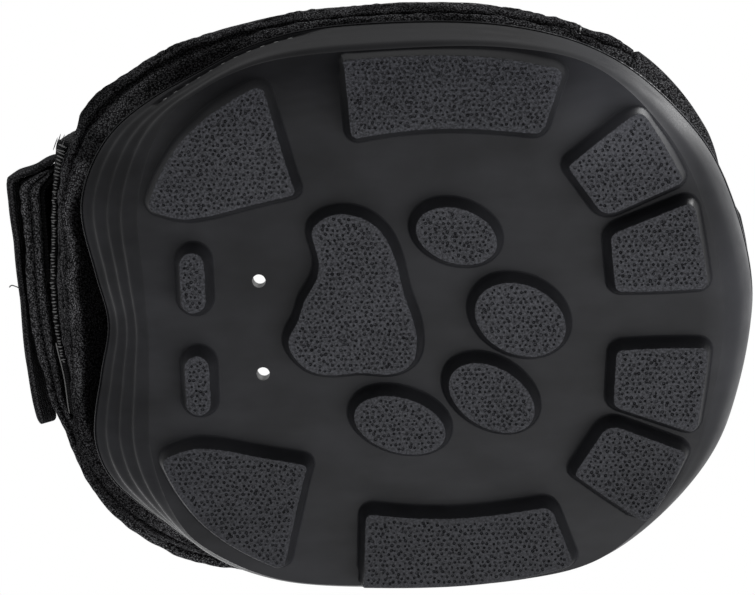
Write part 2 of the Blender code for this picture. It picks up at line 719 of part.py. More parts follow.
def strap_pieces(mesh_cloth, hook_tape, loop_tape, webbing):
    """Heel strap: its fixed root, the swinging part, tapes and the standing pull loop."""
    tape, hook, strap = strap_stack()
    tapered_layer("heel_loop_tape", loop_tape, (TAPE_LEFT_SHARE, TAPE_RIGHT_SHARE), 13, *tape,
                  strap_height_shares, firm_edge_shares, square_tip_shares)
    step = (HEEL_FRONT_SHARE - SIDE_REAR_SHARE) / 2.0
    ramp = (ANCHOR_FRONT_SHARE, ANCHOR_LIFT_SHARE, STRAP_HINGE_SHARE)
    lifted = tape[0] + LOOP_TAPE_THICKNESS / 2.0
    low = (ramp, (tape[0], lifted, strap[0]))
    high = (ramp, (tape[0] + STRAP_THICKNESS, lifted + STRAP_THICKNESS, strap[1]))
    tapered_layer("strap_anchor", mesh_cloth, (STRAP_HINGE_SHARE - step, ANCHOR_FRONT_SHARE), 9, low, high,
                  strap_height_shares, soft_edge_shares, strap_tip_shares)
    tapered_layer("heel_strap", mesh_cloth, (STRAP_HINGE_SHARE, STRAP_TIP_SHARE), 15, *strap,
                  strap_height_shares, soft_edge_shares, strap_tip_shares)
    middle = sum(strap_height_shares) / 2.0
    half = (strap_height_shares[1] - strap_height_shares[0]) / 2.0 * TAPE_HEIGHT_SHARE
    heights = (middle - half, middle + half)
    tapered_layer("strap_hook_tape", hook_tape, (HOOK_TAPE_START_SHARE, STRAP_TIP_SHARE), 6, *hook,
                  heights, firm_edge_shares, strap_tape_tip_shares)
    pull_loop(webbing, strap[1], middle, half * PULL_LOOP_HEIGHT_SHARE)


def pull_loop(webbing, face, middle, half):
    """Webbing handle behind the strap: it lies flat at its left end and stands off at its right."""
    columns = 13
    across = np.linspace(-1.0, 1.0, columns)
    w = PULL_LOOP_CENTRE_SHARE + PULL_LOOP_HALF_SHARE * across
    lift = PULL_LOOP_STANDOFF * np.interp(across, *np.array(pull_loop_lift_shares).T)
    low = face + CLEARANCE + lift
    outer = np.zeros((3, columns, 3))
    inner = np.zeros((3, columns, 3))
    for row, share in enumerate((-1.0, 0.0, 1.0)):
        height = middle + half * share
        for column in range(columns):
            inner[row, column] = upper_point(w[column], height, low[column])
            outer[row, column] = upper_point(w[column], height, low[column] + WEBBING_THICKNESS)
    sheet_solid("pull_loop", outer, inner, webbing)


def hinge(name, start, end, pieces):
    """An empty whose Z lies on a joint's axis, from start to end, and that carries what turns."""
    axis = bpy.data.objects.new(name, None)
    start = Vector(start)
    end = Vector(end)
    axis.location = (start + end) / 2.0
    axis.rotation_euler = (end - start).to_track_quat("Z", "Y").to_euler()
    bpy.context.scene.collection.objects.link(axis)
    bpy.context.view_layer.update()
    for piece in pieces:
        moving = bpy.data.objects[piece]
        moving.parent = axis
        moving.matrix_parent_inverse = axis.matrix_world.inverted()


def hinges():
    """Places of the four joints, each along the line where its piece is sewn down."""
    under, _, _, _ = flap_stack()
    _, _, strap = strap_stack()
    low, high = flap_height_shares
    for name, w, pieces in (
        ("under_flap_axis", FLAP_HINGE_SHARE, ("under_flap", "flap_loop_tape")),
        ("over_flap_axis", -FLAP_HINGE_SHARE, ("over_flap", "flap_hook_tape", "flap_pull_tab")),
    ):
        hinge(name, upper_point(w, low, under[1]), upper_point(w, high, under[1]), pieces)
    crease = (tongue_foot_height_shares[-1] + tongue_height_shares[0]) / 2.0
    depth = tongue_depths()[1]
    right = upper_point(-TONGUE_SHARE, crease, depth)
    left = upper_point(TONGUE_SHARE, crease, depth)
    middle = upper_point(0.0, crease, depth)
    right[0] = middle[0]
    left[0] = middle[0]
    hinge("tongue_axis", right, left, ("tongue",))
    low, high = strap_height_shares
    hinge("heel_strap_axis", upper_point(STRAP_HINGE_SHARE, low, strap[1]),
          upper_point(STRAP_HINGE_SHARE, high, strap[1]), ("heel_strap", "strap_hook_tape", "pull_loop"))


def build():
    clear_scene()
    rubber = material("black_rubber", (0.030, 0.031, 0.034), 0.45)
    mesh_cloth = material("black_mesh", (0.022, 0.022, 0.024), 0.9)
    woven_cloth = material("black_woven", (0.018, 0.018, 0.020), 0.85)
    padding = material("soft_lining", (0.026, 0.026, 0.028), 0.95)
    hook_tape = material("hook_tape", (0.014, 0.014, 0.015), 0.8)
    loop_tape = material("loop_tape", (0.020, 0.020, 0.021), 0.95)
    webbing = material("webbing", (0.020, 0.020, 0.022), 0.8)
    leather = material("brown_leather", (0.230, 0.090, 0.035), 0.6)
    outsole(rubber)
    uppers(mesh_cloth, woven_cloth)
    linings(padding)
    collars(mesh_cloth)
    badge(leather)
    tongue_pieces(mesh_cloth)
    flaps(woven_cloth, hook_tape, loop_tape, webbing)
    strap_pieces(mesh_cloth, hook_tape, loop_tape, webbing)
    hinges()


build()
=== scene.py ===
"""Looks of a horse's hoof boot: moulded rubber sole, padded mesh upper, front flaps, heel strap.

Frame: +X towards the toe, +Y towards the boot's left side, +Z up, in metres. A place on the
upper is given by w, the share of the half outline from the toe (plus on the left side, minus on
the right, 1 at the heel), by v, the share of the wall's height above the sole's rim (minus is
tucked inside the sole), and by its depth, measured outwards from the upper's face.
"""

import math
import random

import bmesh
import bpy
import numpy as np
from mathutils import Matrix, Vector, noise
from mathutils.geometry import delaunay_2d_cdt

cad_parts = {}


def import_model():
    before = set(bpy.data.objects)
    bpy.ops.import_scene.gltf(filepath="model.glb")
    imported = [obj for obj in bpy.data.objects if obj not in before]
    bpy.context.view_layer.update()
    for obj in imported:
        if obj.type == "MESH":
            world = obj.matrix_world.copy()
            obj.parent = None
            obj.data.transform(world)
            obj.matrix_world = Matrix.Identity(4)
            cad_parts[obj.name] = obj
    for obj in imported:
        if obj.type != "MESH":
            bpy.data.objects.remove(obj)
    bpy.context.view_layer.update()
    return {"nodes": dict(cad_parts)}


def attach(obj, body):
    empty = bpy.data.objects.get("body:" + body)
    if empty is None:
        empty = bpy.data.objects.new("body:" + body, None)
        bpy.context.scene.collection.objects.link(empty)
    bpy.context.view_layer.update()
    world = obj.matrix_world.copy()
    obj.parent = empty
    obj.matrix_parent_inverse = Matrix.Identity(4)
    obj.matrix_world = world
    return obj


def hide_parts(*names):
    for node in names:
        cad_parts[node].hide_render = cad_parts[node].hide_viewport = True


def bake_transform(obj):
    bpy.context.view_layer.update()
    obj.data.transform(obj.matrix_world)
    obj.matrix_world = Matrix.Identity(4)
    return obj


MM = 0.001
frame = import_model()
bpy.ops.object.select_all(action="DESELECT")
random.seed(7)

# Sizes shared with the solids
TOE_REACH = 100.0 * MM
HEEL_REACH = 78.0 * MM
HALF_WIDTH = 76.0 * MM
HEEL_OVERHANG = 11.0 * MM
LUG_HEIGHT = 6.5 * MM
FLOOR = 12.0 * MM
RIM_HEIGHT = 30.0 * MM
HEEL_RIM_HEIGHT = 19.0 * MM
FLOOR_WALL = 5.5 * MM
MID_WALL = 4.0 * MM
RIM_WALL = 2.6 * MM
RIM_STEP = 0.6 * MM
SIDE_TOP = 84.0 * MM
HEEL_TOP = 76.0 * MM
SIDE_BULGE = 3.7 * MM
TOE_LEAN = 21.0 * MM
CLEARANCE = 0.3 * MM
PANEL = 3.0 * MM
LINING = (-6.5 * MM, -3.5 * MM)
TONGUE = (-7.8 * MM, -3.5 * MM)
UNDER_FLAP = (0.3 * MM, 2.7 * MM)
FLAP_LOOP = (3.0 * MM, 4.0 * MM)
FLAP_HOOK = (4.3 * MM, 5.3 * MM)
OVER_FLAP = (5.6 * MM, 8.0 * MM)
HEEL_TAPE = (0.3 * MM, 1.9 * MM)
STRAP_HOOK = (2.2 * MM, 3.4 * MM)
STRAP = (3.7 * MM, 8.7 * MM)
WEBBING = 1.8 * MM
DRAIN_RADIUS = 1.75 * MM
DRAIN_X = -30.8 * MM
DRAIN_Y = 12.4 * MM

# Half outlines, toe to heel: x as a share of the toe or heel reach, y of the half width
RIM_SHARES = (
    (1.000, 0.000), (0.930, 0.410), (0.800, 0.672), (0.610, 0.872), (0.360, 0.976), (0.040, 1.000),
    (-0.359, 0.966), (-0.692, 0.856), (-0.910, 0.672), (-1.000, 0.440), (-0.957, 0.185), (-0.922, 0.000),
)
PLATE_SHARES = (
    (0.885, 0.000), (0.840, 0.362), (0.745, 0.632), (0.575, 0.855), (0.345, 0.932), (0.040, 0.939),
    (-0.346, 0.908), (-0.602, 0.790), (-0.718, 0.651), (-0.782, 0.428), (-0.776, 0.185), (-0.769, 0.000),
)
UPPER_SHARES = (
    (1.000, 0.000), (0.930, 0.410), (0.800, 0.672), (0.610, 0.872), (0.360, 0.976), (0.040, 1.000),
    (-0.315, 0.968), (-0.630, 0.875), (-0.868, 0.690), (-0.978, 0.440), (-0.998, 0.200), (-1.000, 0.000),
)

# Wall of the sole: height share, then how far toe, side and heel have moved from plate to rim
WALL_SHARES = np.array((
    (0.00, 0.00, 0.00, 0.00), (0.10, 0.40, 0.30, 0.16), (0.16, 0.52, 0.37, 0.29),
    (0.34, 0.74, 0.50, 0.35), (0.41, 0.80, 0.55, 0.53), (0.58, 0.90, 0.69, 0.59),
    (0.65, 0.93, 0.74, 0.77), (0.82, 0.97, 0.88, 0.83), (0.89, 0.985, 0.93, 0.97),
    (1.00, 1.00, 1.00, 1.00),
))
# Upper wall: height share above the rim, then shares of toe lean, side bulge and heel overhang
UPPER_WALL_SHARES = np.array((
    (0.00, 0.00, 0.00, 0.00), (0.07, -0.01, 0.36, 0.35), (0.18, 0.01, 1.00, 0.75),
    (0.40, -0.14, 0.90, 1.00), (0.65, -0.45, 0.50, 1.00), (0.85, -0.76, 0.05, 0.98),
    (1.00, -0.98, -0.25, 0.92), (1.40, -1.56, -0.70, 0.80),
))
NORMAL_SPAN_SHARE = 0.012
UPPER_RISE = 54.0 * MM


def smoothstep(low, high, value):
    share = np.clip((np.asarray(value, float) - low) / (high - low), 0.0, 1.0)
    return share * share * (3.0 - 2.0 * share)


def half_curve(shares, heel_reach):
    """Control points of a half outline, with one mirrored neighbour at each end."""
    points = []
    for share_x, share_y in shares:
        reach = TOE_REACH if share_x >= 0.0 else heel_reach
        points.append((share_x * reach, share_y * HALF_WIDTH))
    before = (points[1][0], -points[1][1])
    after = (points[-2][0], -points[-2][1])
    return np.array([before, *points, after])


def spline(controls, step):
    """Smooth curve through the control points; step counts from the second one."""
    step = np.clip(np.asarray(step, float), 0.0, len(controls) - 3.0)
    first = np.minimum(step.astype(int), len(controls) - 4)
    t = (step - first)[..., None]
    p0, p1, p2, p3 = (controls[first + k] for k in range(4))
    bend = 2.0 * p0 - 5.0 * p1 + 4.0 * p2 - p3
    return 0.5 * (2.0 * p1 + (p2 - p0) * t + bend * t ** 2 + (3.0 * p1 - p0 - 3.0 * p2 + p3) * t ** 3)


RIM_CURVE = half_curve(RIM_SHARES, HEEL_REACH)
PLATE_CURVE = half_curve(PLATE_SHARES, HEEL_REACH)
UPPER_CURVE = half_curve(UPPER_SHARES, HEEL_REACH + HEEL_OVERHANG)
STEPS = np.linspace(0.0, len(RIM_SHARES) - 1.0, 600)
RIM_RUN = np.concatenate(
    ([0.0], np.cumsum(np.linalg.norm(np.diff(spline(RIM_CURVE, STEPS), axis=0), axis=1)))
)


def wrap(w):
    return (np.asarray(w, float) + 1.0) % 2.0 - 1.0


def outline(curve, w):
    w = wrap(w)
    points = spline(curve, np.interp(np.abs(w) * RIM_RUN[-1], RIM_RUN, STEPS))
    points[..., 1] *= np.where(w < 0.0, -1.0, 1.0)
    return points


def outward(w, curve):
    """Unit normal of an outline, pointing away from the boot."""
    w = np.asarray(w, float)
    run = outline(curve, w + NORMAL_SPAN_SHARE) - outline(curve, w - NORMAL_SPAN_SHARE)
    normal = np.stack((run[..., 1], -run[..., 0]), axis=-1)
    return normal / np.linalg.norm(normal, axis=-1, keepdims=True)


def heel_drop(w):
    return smoothstep(0.64, 0.90, np.abs(wrap(w)))


def rim_height(w):
    return RIM_HEIGHT + (HEEL_RIM_HEIGHT - RIM_HEIGHT) * heel_drop(w)


def top_height(w):
    return SIDE_TOP + (HEEL_TOP - SIDE_TOP) * heel_drop(w)


def eased(value, table, reaches):
    """The table's columns at a value, each with its corners rounded over its own reach."""
    taps = np.linspace(-1.0, 1.0, 7)
    columns = []
    for column, reach in zip(table.T[1:], reaches):
        columns.append(sum(np.interp(value + reach * tap, table[:, 0], column) for tap in taps) / len(taps))
    return columns


# How far in the photograph's rim lies at the rear corners, and out at the toe's left: place, millimetres
RIM_DENT = np.array((
    (0.040, 0.0), (0.085, -0.5), (0.122, -1.1), (0.148, -1.5), (0.186, -1.9), (0.217, -2.0),
    (0.244, -1.6), (0.270, -0.9), (0.310, 0.0),
    (0.695, 0.0), (0.729, 1.5), (0.761, 3.3), (0.800, 3.2), (0.845, 1.2), (0.885, 0.7), (0.930, 0.0),
    (1.07, 0.0), (1.10, 0.4), (1.14, 1.2), (1.176, 1.9), (1.198, 2.1), (1.222, 2.8), (1.239, 3.3),
    (1.267, 3.8), (1.295, 3.9), (1.319, 3.2), (1.346, 2.0), (1.373, 1.2), (1.407, 0.3), (1.44, 0.0),
))


def rim_dent(w):
    turned = np.mod(np.asarray(w, float), 2.0)
    taps = np.linspace(-0.015, 0.015, 5)
    return MM * sum(np.interp(turned + tap, *RIM_DENT.T) for tap in taps) / len(taps)


def shell_point(w, height):
    """Outer face of the sole's wall, from the tread plate (0) to the rim (1)."""
    toe_part, side_part, heel_part = eased(height, WALL_SHARES, (0.10, 0.05, 0.042))
    run = np.abs(wrap(w))
    toe = 1.0 - smoothstep(0.12, 0.40, run)
    heel = smoothstep(0.62, 0.86, run)
    moved = toe * toe_part + (1.0 - toe - heel) * side_part + heel * heel_part
    flat = outline(PLATE_CURVE, w)
    flat = flat + (outline(RIM_CURVE, w) - flat) * np.asarray(moved)[..., None]
    flat = flat - outward(w, RIM_CURVE) * (rim_dent(w) * np.asarray(height) ** 0.5)[..., None]
    z = LUG_HEIGHT + (rim_height(w) - LUG_HEIGHT) * height
    return np.concatenate((flat, np.asarray(z)[..., None]), axis=-1)


def shift(points, w, distance, curve):
    moved = points.copy()
    moved[..., :2] += outward(w, curve) * np.asarray(distance)[..., None]
    return moved


def wall_point(w, v, depth):
    """A place on the upper, or inside the sole's wall where v is below zero."""
    w, v, depth = np.broadcast_arrays(np.asarray(w, float), np.asarray(v, float), np.asarray(depth, float))
    toe_part, side_part, heel_part = eased(np.maximum(v, 0.0), UPPER_WALL_SHARES, (0.03, 0.03, 0.03))
    start = eased(0.0, UPPER_WALL_SHARES, (0.03, 0.03, 0.03))
    fade = 1.0 - smoothstep(0.0, 0.07, v)
    toe_part, side_part, heel_part = (
        part - first * fade for part, first in zip((toe_part, side_part, heel_part), start)
    )
    run = np.abs(wrap(w))
    toe = 1.0 - smoothstep(0.12, 0.40, run)
    side = smoothstep(0.08, 0.25, run) - smoothstep(0.70, 0.95, run)
    stand = toe * TOE_LEAN * toe_part + side * SIDE_BULGE * side_part
    seat = (RIM_WALL + CLEARANCE) * (1.0 - smoothstep(0.0, 0.07, v))
    seat = seat + rim_dent(w) * (1.0 - smoothstep(0.0, 0.15, v))
    low = rim_height(w) + RIM_STEP
    flat = outline(RIM_CURVE, w)
    flat = flat + (outline(UPPER_CURVE, w) - flat) * heel_part[..., None]
    z = low + (top_height(w) - low) * v
    above = np.concatenate((flat, z[..., None]), axis=-1)
    above = shift(above, w, stand - seat + depth, UPPER_CURVE)
    height = np.clip(1.0 + v, 0.0, 1.0)
    wall = np.interp(height, (0.0, 0.5, 1.0), (FLOOR_WALL, MID_WALL, RIM_WALL))
    tucked = shift(shell_point(w, height), w, depth - wall - CLEARANCE, RIM_CURVE)
    return np.where((v < 0.0)[..., None], tucked, above)


def lumps(w, v, size, seed):
    """Uneven waves over the upper, about that many millimetres long, from minus one to one."""
    w, v = np.broadcast_arrays(np.asarray(w, float), np.asarray(v, float))
    across = w * RIM_RUN[-1] / (size * MM)
    up = v * UPPER_RISE / (size * MM)
    values = [noise.noise((a, b, seed * 7.3)) for a, b in zip(across.ravel(), up.ravel())]
    return np.reshape(values, w.shape) * 1.8


# Meshes
def wrapped(name, points, shadow=None):
    """A grid primitive laid over rows and columns of points, with its texture map in millimetres."""
    rows, columns = points.shape[:2]
    bpy.ops.mesh.primitive_grid_add(x_subdivisions=columns - 1, y_subdivisions=rows - 1, size=2.0)
    piece = bpy.context.active_object
    piece.name = name
    mesh = piece.data
    mesh.name = name
    flat = np.zeros(len(mesh.vertices) * 3)
    mesh.vertices.foreach_get("co", flat)
    flat = flat.reshape(-1, 3)
    column = np.rint((flat[:, 0] + 1.0) / 2.0 * (columns - 1)).astype(int)
    row = np.rint((flat[:, 1] + 1.0) / 2.0 * (rows - 1)).astype(int)
    mesh.vertices.foreach_set("co", points[row, column].ravel())
    across = np.linalg.norm(np.diff(points, axis=1), axis=2).mean(axis=0)
    along = np.linalg.norm(np.diff(points, axis=0), axis=2).mean(axis=1)
    u = np.concatenate(([0.0], np.cumsum(across))) / MM
    v = np.concatenate(([0.0], np.cumsum(along))) / MM
    corner = np.zeros(len(mesh.loops), int)
    mesh.loops.foreach_get("vertex_index", corner)
    layer = mesh.uv_layers[0]
    layer.data.foreach_set("uv", np.stack((u[column[corner]], v[row[corner]]), axis=1).ravel())
    if shadow is not None:
        paint = mesh.attributes.new("shadow", "FLOAT", "POINT")
        paint.data.foreach_set("value", shadow[row, column].astype(np.float32))
    return piece


def close_up(piece, sharp_degrees=50.0):
    """Join doubled points, fill open ends, and turn every face outwards."""
    bpy.context.view_layer.objects.active = piece
    bpy.ops.object.mode_set(mode="EDIT")
    bpy.ops.mesh.select_all(action="SELECT")
    bpy.ops.mesh.remove_doubles(threshold=0.000002)
    bpy.ops.mesh.fill_holes(sides=0)
    bpy.ops.mesh.select_all(action="SELECT")
    bpy.ops.mesh.normals_make_consistent(inside=False)
    bpy.ops.object.mode_set(mode="OBJECT")
    bpy.ops.object.shade_smooth_by_angle(angle=math.radians(sharp_degrees))
    piece.select_set(False)


def end_steps(length, radius, count):
    """Places along a run, closer together near both ends, and how full the piece is at each."""
    near = np.array((0.0, 0.06, 0.22, 0.5, 0.8, 1.0)) * radius
    middle = np.linspace(radius, length - radius, count)[1:-1]
    places = np.concatenate((near, middle, length - near[::-1]))
    edge = np.minimum(np.minimum(places, length - places) / radius, 1.0)
    return places, 0.16 + 0.84 * np.sqrt(1.0 - (1.0 - edge) ** 2)


def rounded_slab(outer, inner_count, rolls):
    """Section of a soft panel: place across it (0 to 1), side (0 inner face, 1 outer), and bulge.

    outer is a count, or the places of the outer rows. Each border bulges in one or more rolls.
    """
    turn = np.linspace(0.0, math.pi, 6 * rolls + 1)[1:-1]
    up = np.linspace(0.0, 1.0, outer) if np.isscalar(outer) else np.asarray(outer)
    down = np.linspace(1.0, 0.0, inner_count)
    border = np.abs(np.sin(rolls * turn)) ** (1.0 if rolls == 1 else 0.7)
    place = np.concatenate((up, 1.0 + 0.0 * turn, down, 0.0 * turn, up[:1]))
    side = np.concatenate(
        (1.0 + 0.0 * up, (1.0 + np.cos(turn)) / 2.0, 0.0 * down, (1.0 - np.cos(turn)) / 2.0, (1.0,))
    )
    bulge = np.concatenate((0.0 * up, border, 0.0 * down, -border, (0.0,)))
    return place, side, bulge


def depths(low, high):
    """The two depths of a piece that lies evenly on the upper."""
    return lambda w: (low + 0.0 * w, high + 0.0 * w)


def panel(name, run, across, layer, counts, relief=None, taper=None, inner_relief=None, upright=False,
          shadow=None, rolls=1, end_share=0.6, skew=None):
    """A soft panel on the upper, rounded at its borders, with its own relief on both faces.

    It runs along the outline, or up the wall when it is upright. layer gives its inner and outer
    depth at w, relief and inner_relief move its faces outwards, taper scales it across, shadow
    paints the cloth darker, end_share of its thickness rounds its two ends, and skew moves its
    places along the outline.
    """
    stations, outer_count, inner_count = counts
    around = RIM_RUN[-1]
    scale_along, scale_across = (UPPER_RISE, around) if upright else (around, UPPER_RISE)
    length = abs(run[1] - run[0]) * scale_along
    first_low, first_high = layer(np.array(across[0] if upright else run[1]))
    thick = float(first_high - first_low)
    places, full = end_steps(length, thick * end_share, stations)
    along = np.interp(places, (0.0, length), run)
    place, side, bulge = rounded_slab(outer_count, inner_count, rolls)
    size = np.ones(len(places)) if taper is None else taper(places, length)
    edge = thick * 0.5 / scale_across
    middle = (across[0] + across[1]) / 2.0
    half = (across[1] - across[0]) / 2.0
    reach = np.maximum(np.abs(half) * size - edge, 0.0) * np.sign(half)
    over = middle + (place[:, None] * 2.0 - 1.0) * reach[None, :]
    over = over + bulge[:, None] * edge * np.sign(half) * full[None, :]
    along = np.broadcast_to(along, over.shape)
    w, v = (over, along) if upright else (along, over)
    if skew is not None:
        w = w + skew(w, v)
    low, high = layer(w)
    depth = (low + high) / 2.0 + (side[:, None] - 0.5) * (high - low) * full[None, :]
    if relief is not None:
        depth = depth + relief(w, v) * side[:, None] * full[None, :]
    if inner_relief is not None:
        depth = depth + inner_relief(w, v) * (1.0 - side[:, None]) * full[None, :]
    paint = None if shadow is None else shadow(w, v) * side[:, None]
    # Painted shade in the valley between a border's two rolls
    if rolls > 1:
        valley_shade = 0.85 * channel(side, 0.5, 0.12)[:, None] + 0.0 * w
        paint = valley_shade if paint is None else np.maximum(paint, valley_shade)
    piece = wrapped(name, wall_point(w, v, depth), paint)
    close_up(piece)
    return piece


def round_tip(radius, end_share, both=False):
    """A taper that draws a piece in to a rounded tip at the end of its run."""
    def taper(places, length):
        left = np.minimum(places, length - places) if both else length - places
        curve = np.clip(1.0 - left / radius, 0.0, 1.0) ** 2.4
        return end_share + (1.0 - end_share) * (1.0 - curve) ** 0.6
    return taper


def channel(value, centre, width):
    return np.exp(-((value - centre) / width) ** 2)


class Value:
    """A socket of a material. Sums, products and powers on it add its Math nodes."""

    def __init__(self, finish, socket):
        self.finish = finish
        self.socket = socket

    def joined(self, operation, first, second):
        return self.finish.node("Math", {"operation": operation}, {0: first, 1: second})

    def __add__(self, other):
        return self.joined("ADD", self, other)

    def __radd__(self, other):
        return self.joined("ADD", other, self)

    def __sub__(self, other):
        return self.joined("SUBTRACT", self, other)

    def __rsub__(self, other):
        return self.joined("SUBTRACT", other, self)

    def __mul__(self, other):
        return self.joined("MULTIPLY", self, other)

    def __rmul__(self, other):
        return self.joined("MULTIPLY", other, self)

    def __truediv__(self, other):
        return self.joined("DIVIDE", self, other)

    def __pow__(self, other):
        return self.joined("POWER", self, other)

    def __getitem__(self, axis):
        return self.finish.node("SeparateXYZ", {}, {"Vector": self}, axis)


class Finish:
    """A material and the short ways to lay out its nodes."""

    def __init__(self, name):
        self.material = bpy.data.materials.new(name)
        self.material.use_nodes = True
        self.tree = self.material.node_tree
        self.shader = self.tree.nodes["Principled BSDF"]

    def node(self, kind, settings=None, inputs=None, output=0):
        made = self.tree.nodes.new("ShaderNode" + kind)
        for key, value in (settings or {}).items():
            if key == "stops":
                ramp = made.color_ramp
                while len(ramp.elements) < len(value):
                    ramp.elements.new(0.5)
                for element, (position, shade) in zip(ramp.elements, value):
                    element.position = position
                    element.color = (shade, shade, shade, 1.0)
            else:
                setattr(made, key, value)
        for key, value in (inputs or {}).items():
            if isinstance(value, Value):
                self.tree.links.new(value.socket, made.inputs[key])
            else:
                made.inputs[key].default_value = value
        return Value(self, made.outputs[output])

    def function(self, operation, value, second=0.0):
        return self.node("Math", {"operation": operation}, {0: value, 1: second})

    def place(self):
        """Object coordinates, in millimetres."""
        place = self.node("TexCoord", output="Object")
        return self.node("VectorMath", {"operation": "SCALE"}, {0: place, "Scale": 1.0 / MM})

    def laid(self):
        """The piece's own map: millimetres along and across it."""
        return self.node("UVMap", {"uv_map": "UVMap"})

    def stretched(self, place, scale, turn=0.0):
        return self.node("Mapping", {}, {"Vector": place, "Scale": scale, "Rotation": (0.0, 0.0, turn)})

    def noise(self, place, size, detail=2.0, roughness=0.5):
        """Noise whose features are about that many millimetres across."""
        return self.node("TexNoise", {}, {"Vector": place, "Scale": 1.0 / size, "Detail": detail,
                                          "Roughness": roughness})

    def spots(self, place, size, feature="F1", randomness=1.0):
        """Distance to scattered points that lie about that many millimetres apart."""
        inputs = {"Vector": place, "Scale": 1.0 / size, "Randomness": randomness}
        return self.node("TexVoronoi", {"feature": feature}, inputs)

    def ramp(self, value, *stops):
        return self.node("ValToRGB", {"stops": stops}, {"Fac": value})

    def attribute(self, name):
        return self.node("Attribute", {"attribute_name": name}, {}, "Fac")

    def mixed(self, factor, first, second):
        settings = {"data_type": "RGBA"}
        inputs = {0: factor, 6: first, 7: second}
        return self.node("Mix", settings, inputs, 2)

    def bump(self, height, distance, strength=1.0):
        """Bump whose height is given in shares of a distance in metres."""
        inputs = {"Height": height, "Distance": distance, "Strength": strength}
        return self.node("Bump", {}, inputs)

    def finished(self, **values):
        """Set or link the shader's sockets, named with underscores for spaces."""
        for key, value in values.items():
            socket = self.shader.inputs[key.replace("_", " ")]
            if isinstance(value, Value):
                self.tree.links.new(value.socket, socket)
            else:
                socket.default_value = value
        return self.material


def grey(shade, warmth=0.0):
    return (shade * (1.0 + warmth), shade, shade * (1.0 - warmth), 1.0)


def rubber_finish():
    """Moulded black rubber: satin, a little dusty on the lug faces, dark in the pits from dirt and painted
    shade, with painted light on the toe and front right and painted shade on the right wall.
    """
    rubber = Finish("black_rubber")
    place = rubber.place()
    cloud = rubber.ramp(rubber.noise(place, 24.0, 3.0, 0.55), (0.34, 0.0), (0.66, 1.0))
    streaks = rubber.noise(rubber.stretched(place, (0.35, 1.0, 1.0), 0.5), 9.0, 4.0, 0.6)
    smear = rubber.ramp(streaks, (0.38, 0.0), (0.68, 1.0))
    grain = rubber.noise(place, 0.62, 4.0, 0.72)
    pebble = rubber.ramp(grain, (0.40, 0.0), (0.60, 1.0))
    broken = rubber.ramp(rubber.noise(place, 1.1, 2.0), (0.38, 0.15), (0.60, 1.0))
    # Dirt and painted shade darken the lug pits, and painted shade darkens the stitched band; negative values at
    # the toe's lip are a painted glint
    pit = rubber.attribute("pit") * broken
    face = rubber.attribute("face")
    # Painted light: the toe wall lighter, as if lit from the toe side
    toe = rubber.ramp(place[0] * 0.01, (0.84, 0.0), (0.98, 1.0))
    # Painted shade: the lug faces darker towards the boot's left side
    lower = rubber.ramp(place[1] * 0.0125, (0.05, 0.0), (0.62, 1.0))
    specks = rubber.ramp(rubber.spots(place, 0.95, randomness=0.85), (0.14, 0.35), (0.40, 1.0))
    face_dust_and_shade = pebble * (0.034 - lower * 0.012) * specks + 0.0005
    # Painted light: a pool of light on the plate at the front right
    front = rubber.ramp(place[0] * 0.0125, (0.50, 0.0), (0.72, 1.0))
    painted_light_pool = front * rubber.ramp(place[1] * -0.0125, (0.40, 0.0), (0.62, 1.0))
    # Painted shade: the right side darker away from the lug faces; the same mask also makes it rougher
    right = rubber.ramp(place[1] * -0.0125, (0.60, 0.0), (0.84, 1.0))
    body = 0.0060 + cloud * 0.0050 + smear * 0.0038 + toe * 0.0200 + painted_light_pool * 0.0170 + face * face_dust_and_shade
    shade = body * (1.0 - pit * 0.72) * (1.0 - right * (1.0 - face) * 0.35)
    tone = rubber.node("CombineColor", {}, {"Red": shade * 0.96, "Green": shade * 0.98, "Blue": shade * 1.12})
    rear = rubber.ramp(place[0] * -0.0125, (0.48, 0.0), (0.80, 1.0))
    dull = rubber.function("MAXIMUM", right, rear * 0.38)
    roughness = 0.42 + cloud * 0.10 - smear * 0.10 + face * 0.10 + pit * 0.3 + dull * 0.6
    height = grain * (0.06 + face * 0.94)
    return rubber.finished(
        Base_Color=tone, Roughness=roughness, Normal=rubber.bump(height, 0.34 * MM), Specular_IOR_Level=0.12,
    )


# Outsole
RING = 336
WALL_HEIGHTS = np.concatenate((np.linspace(0.0, 0.70, 30), np.linspace(0.715, 0.985, 30)))
LUG_STEP = 0.62 * MM
LUG_FOOT = 2.15 * MM
FACE_ROUND = 0.3 * MM
CORNER_CUT = 1.2 * MM
PIT_PITCH = 1.46 * MM
PIT_RADIUS = 0.49 * MM
PIT_DEPTH = 0.34 * MM
PIT_MARGIN = 0.78 * MM
# Section of a pit: share of its radius, share of its depth, from the crown in its middle outwards
PIT_RINGS = ((0.66, 1.0), (1.0, 0.0))
PLATE_PITCH = 2.4 * MM
# Lug wall: distance out from the face's edge, share of the foot's reach, height above the ground
LUG_WALL = (
    (-0.30 * MM, 0.00, 0.00 * MM), (-0.10 * MM, 0.00, 0.04 * MM), (0.02 * MM, 0.00, 0.18 * MM),
    (0.06 * MM, 0.03, 0.42 * MM), (0.06 * MM, 0.34, 2.90 * MM), (0.06 * MM, 0.64, 5.15 * MM),
    (0.06 * MM, 0.72, 5.80 * MM), (0.04 * MM, 0.84, 6.28 * MM), (0.00 * MM, 1.00, 6.50 * MM),
)


def closed_loops(edges):
    """Vertex loops from a set of border edges."""
    after = {}
    for edge in edges:
        for here, there in (edge.verts, reversed(edge.verts)):
            after.setdefault(here.index, []).append(there.index)
    loops = []
    left = set(after)
    while left:
        loop = [min(left)]
        left.discard(loop[0])
        step = next((k for k in after[loop[-1]] if k in left), None)
        while step is not None:
            loop.append(step)
            left.discard(step)
            step = next((k for k in after[loop[-1]] if k in left), None)
        loops.append(loop)
    return loops


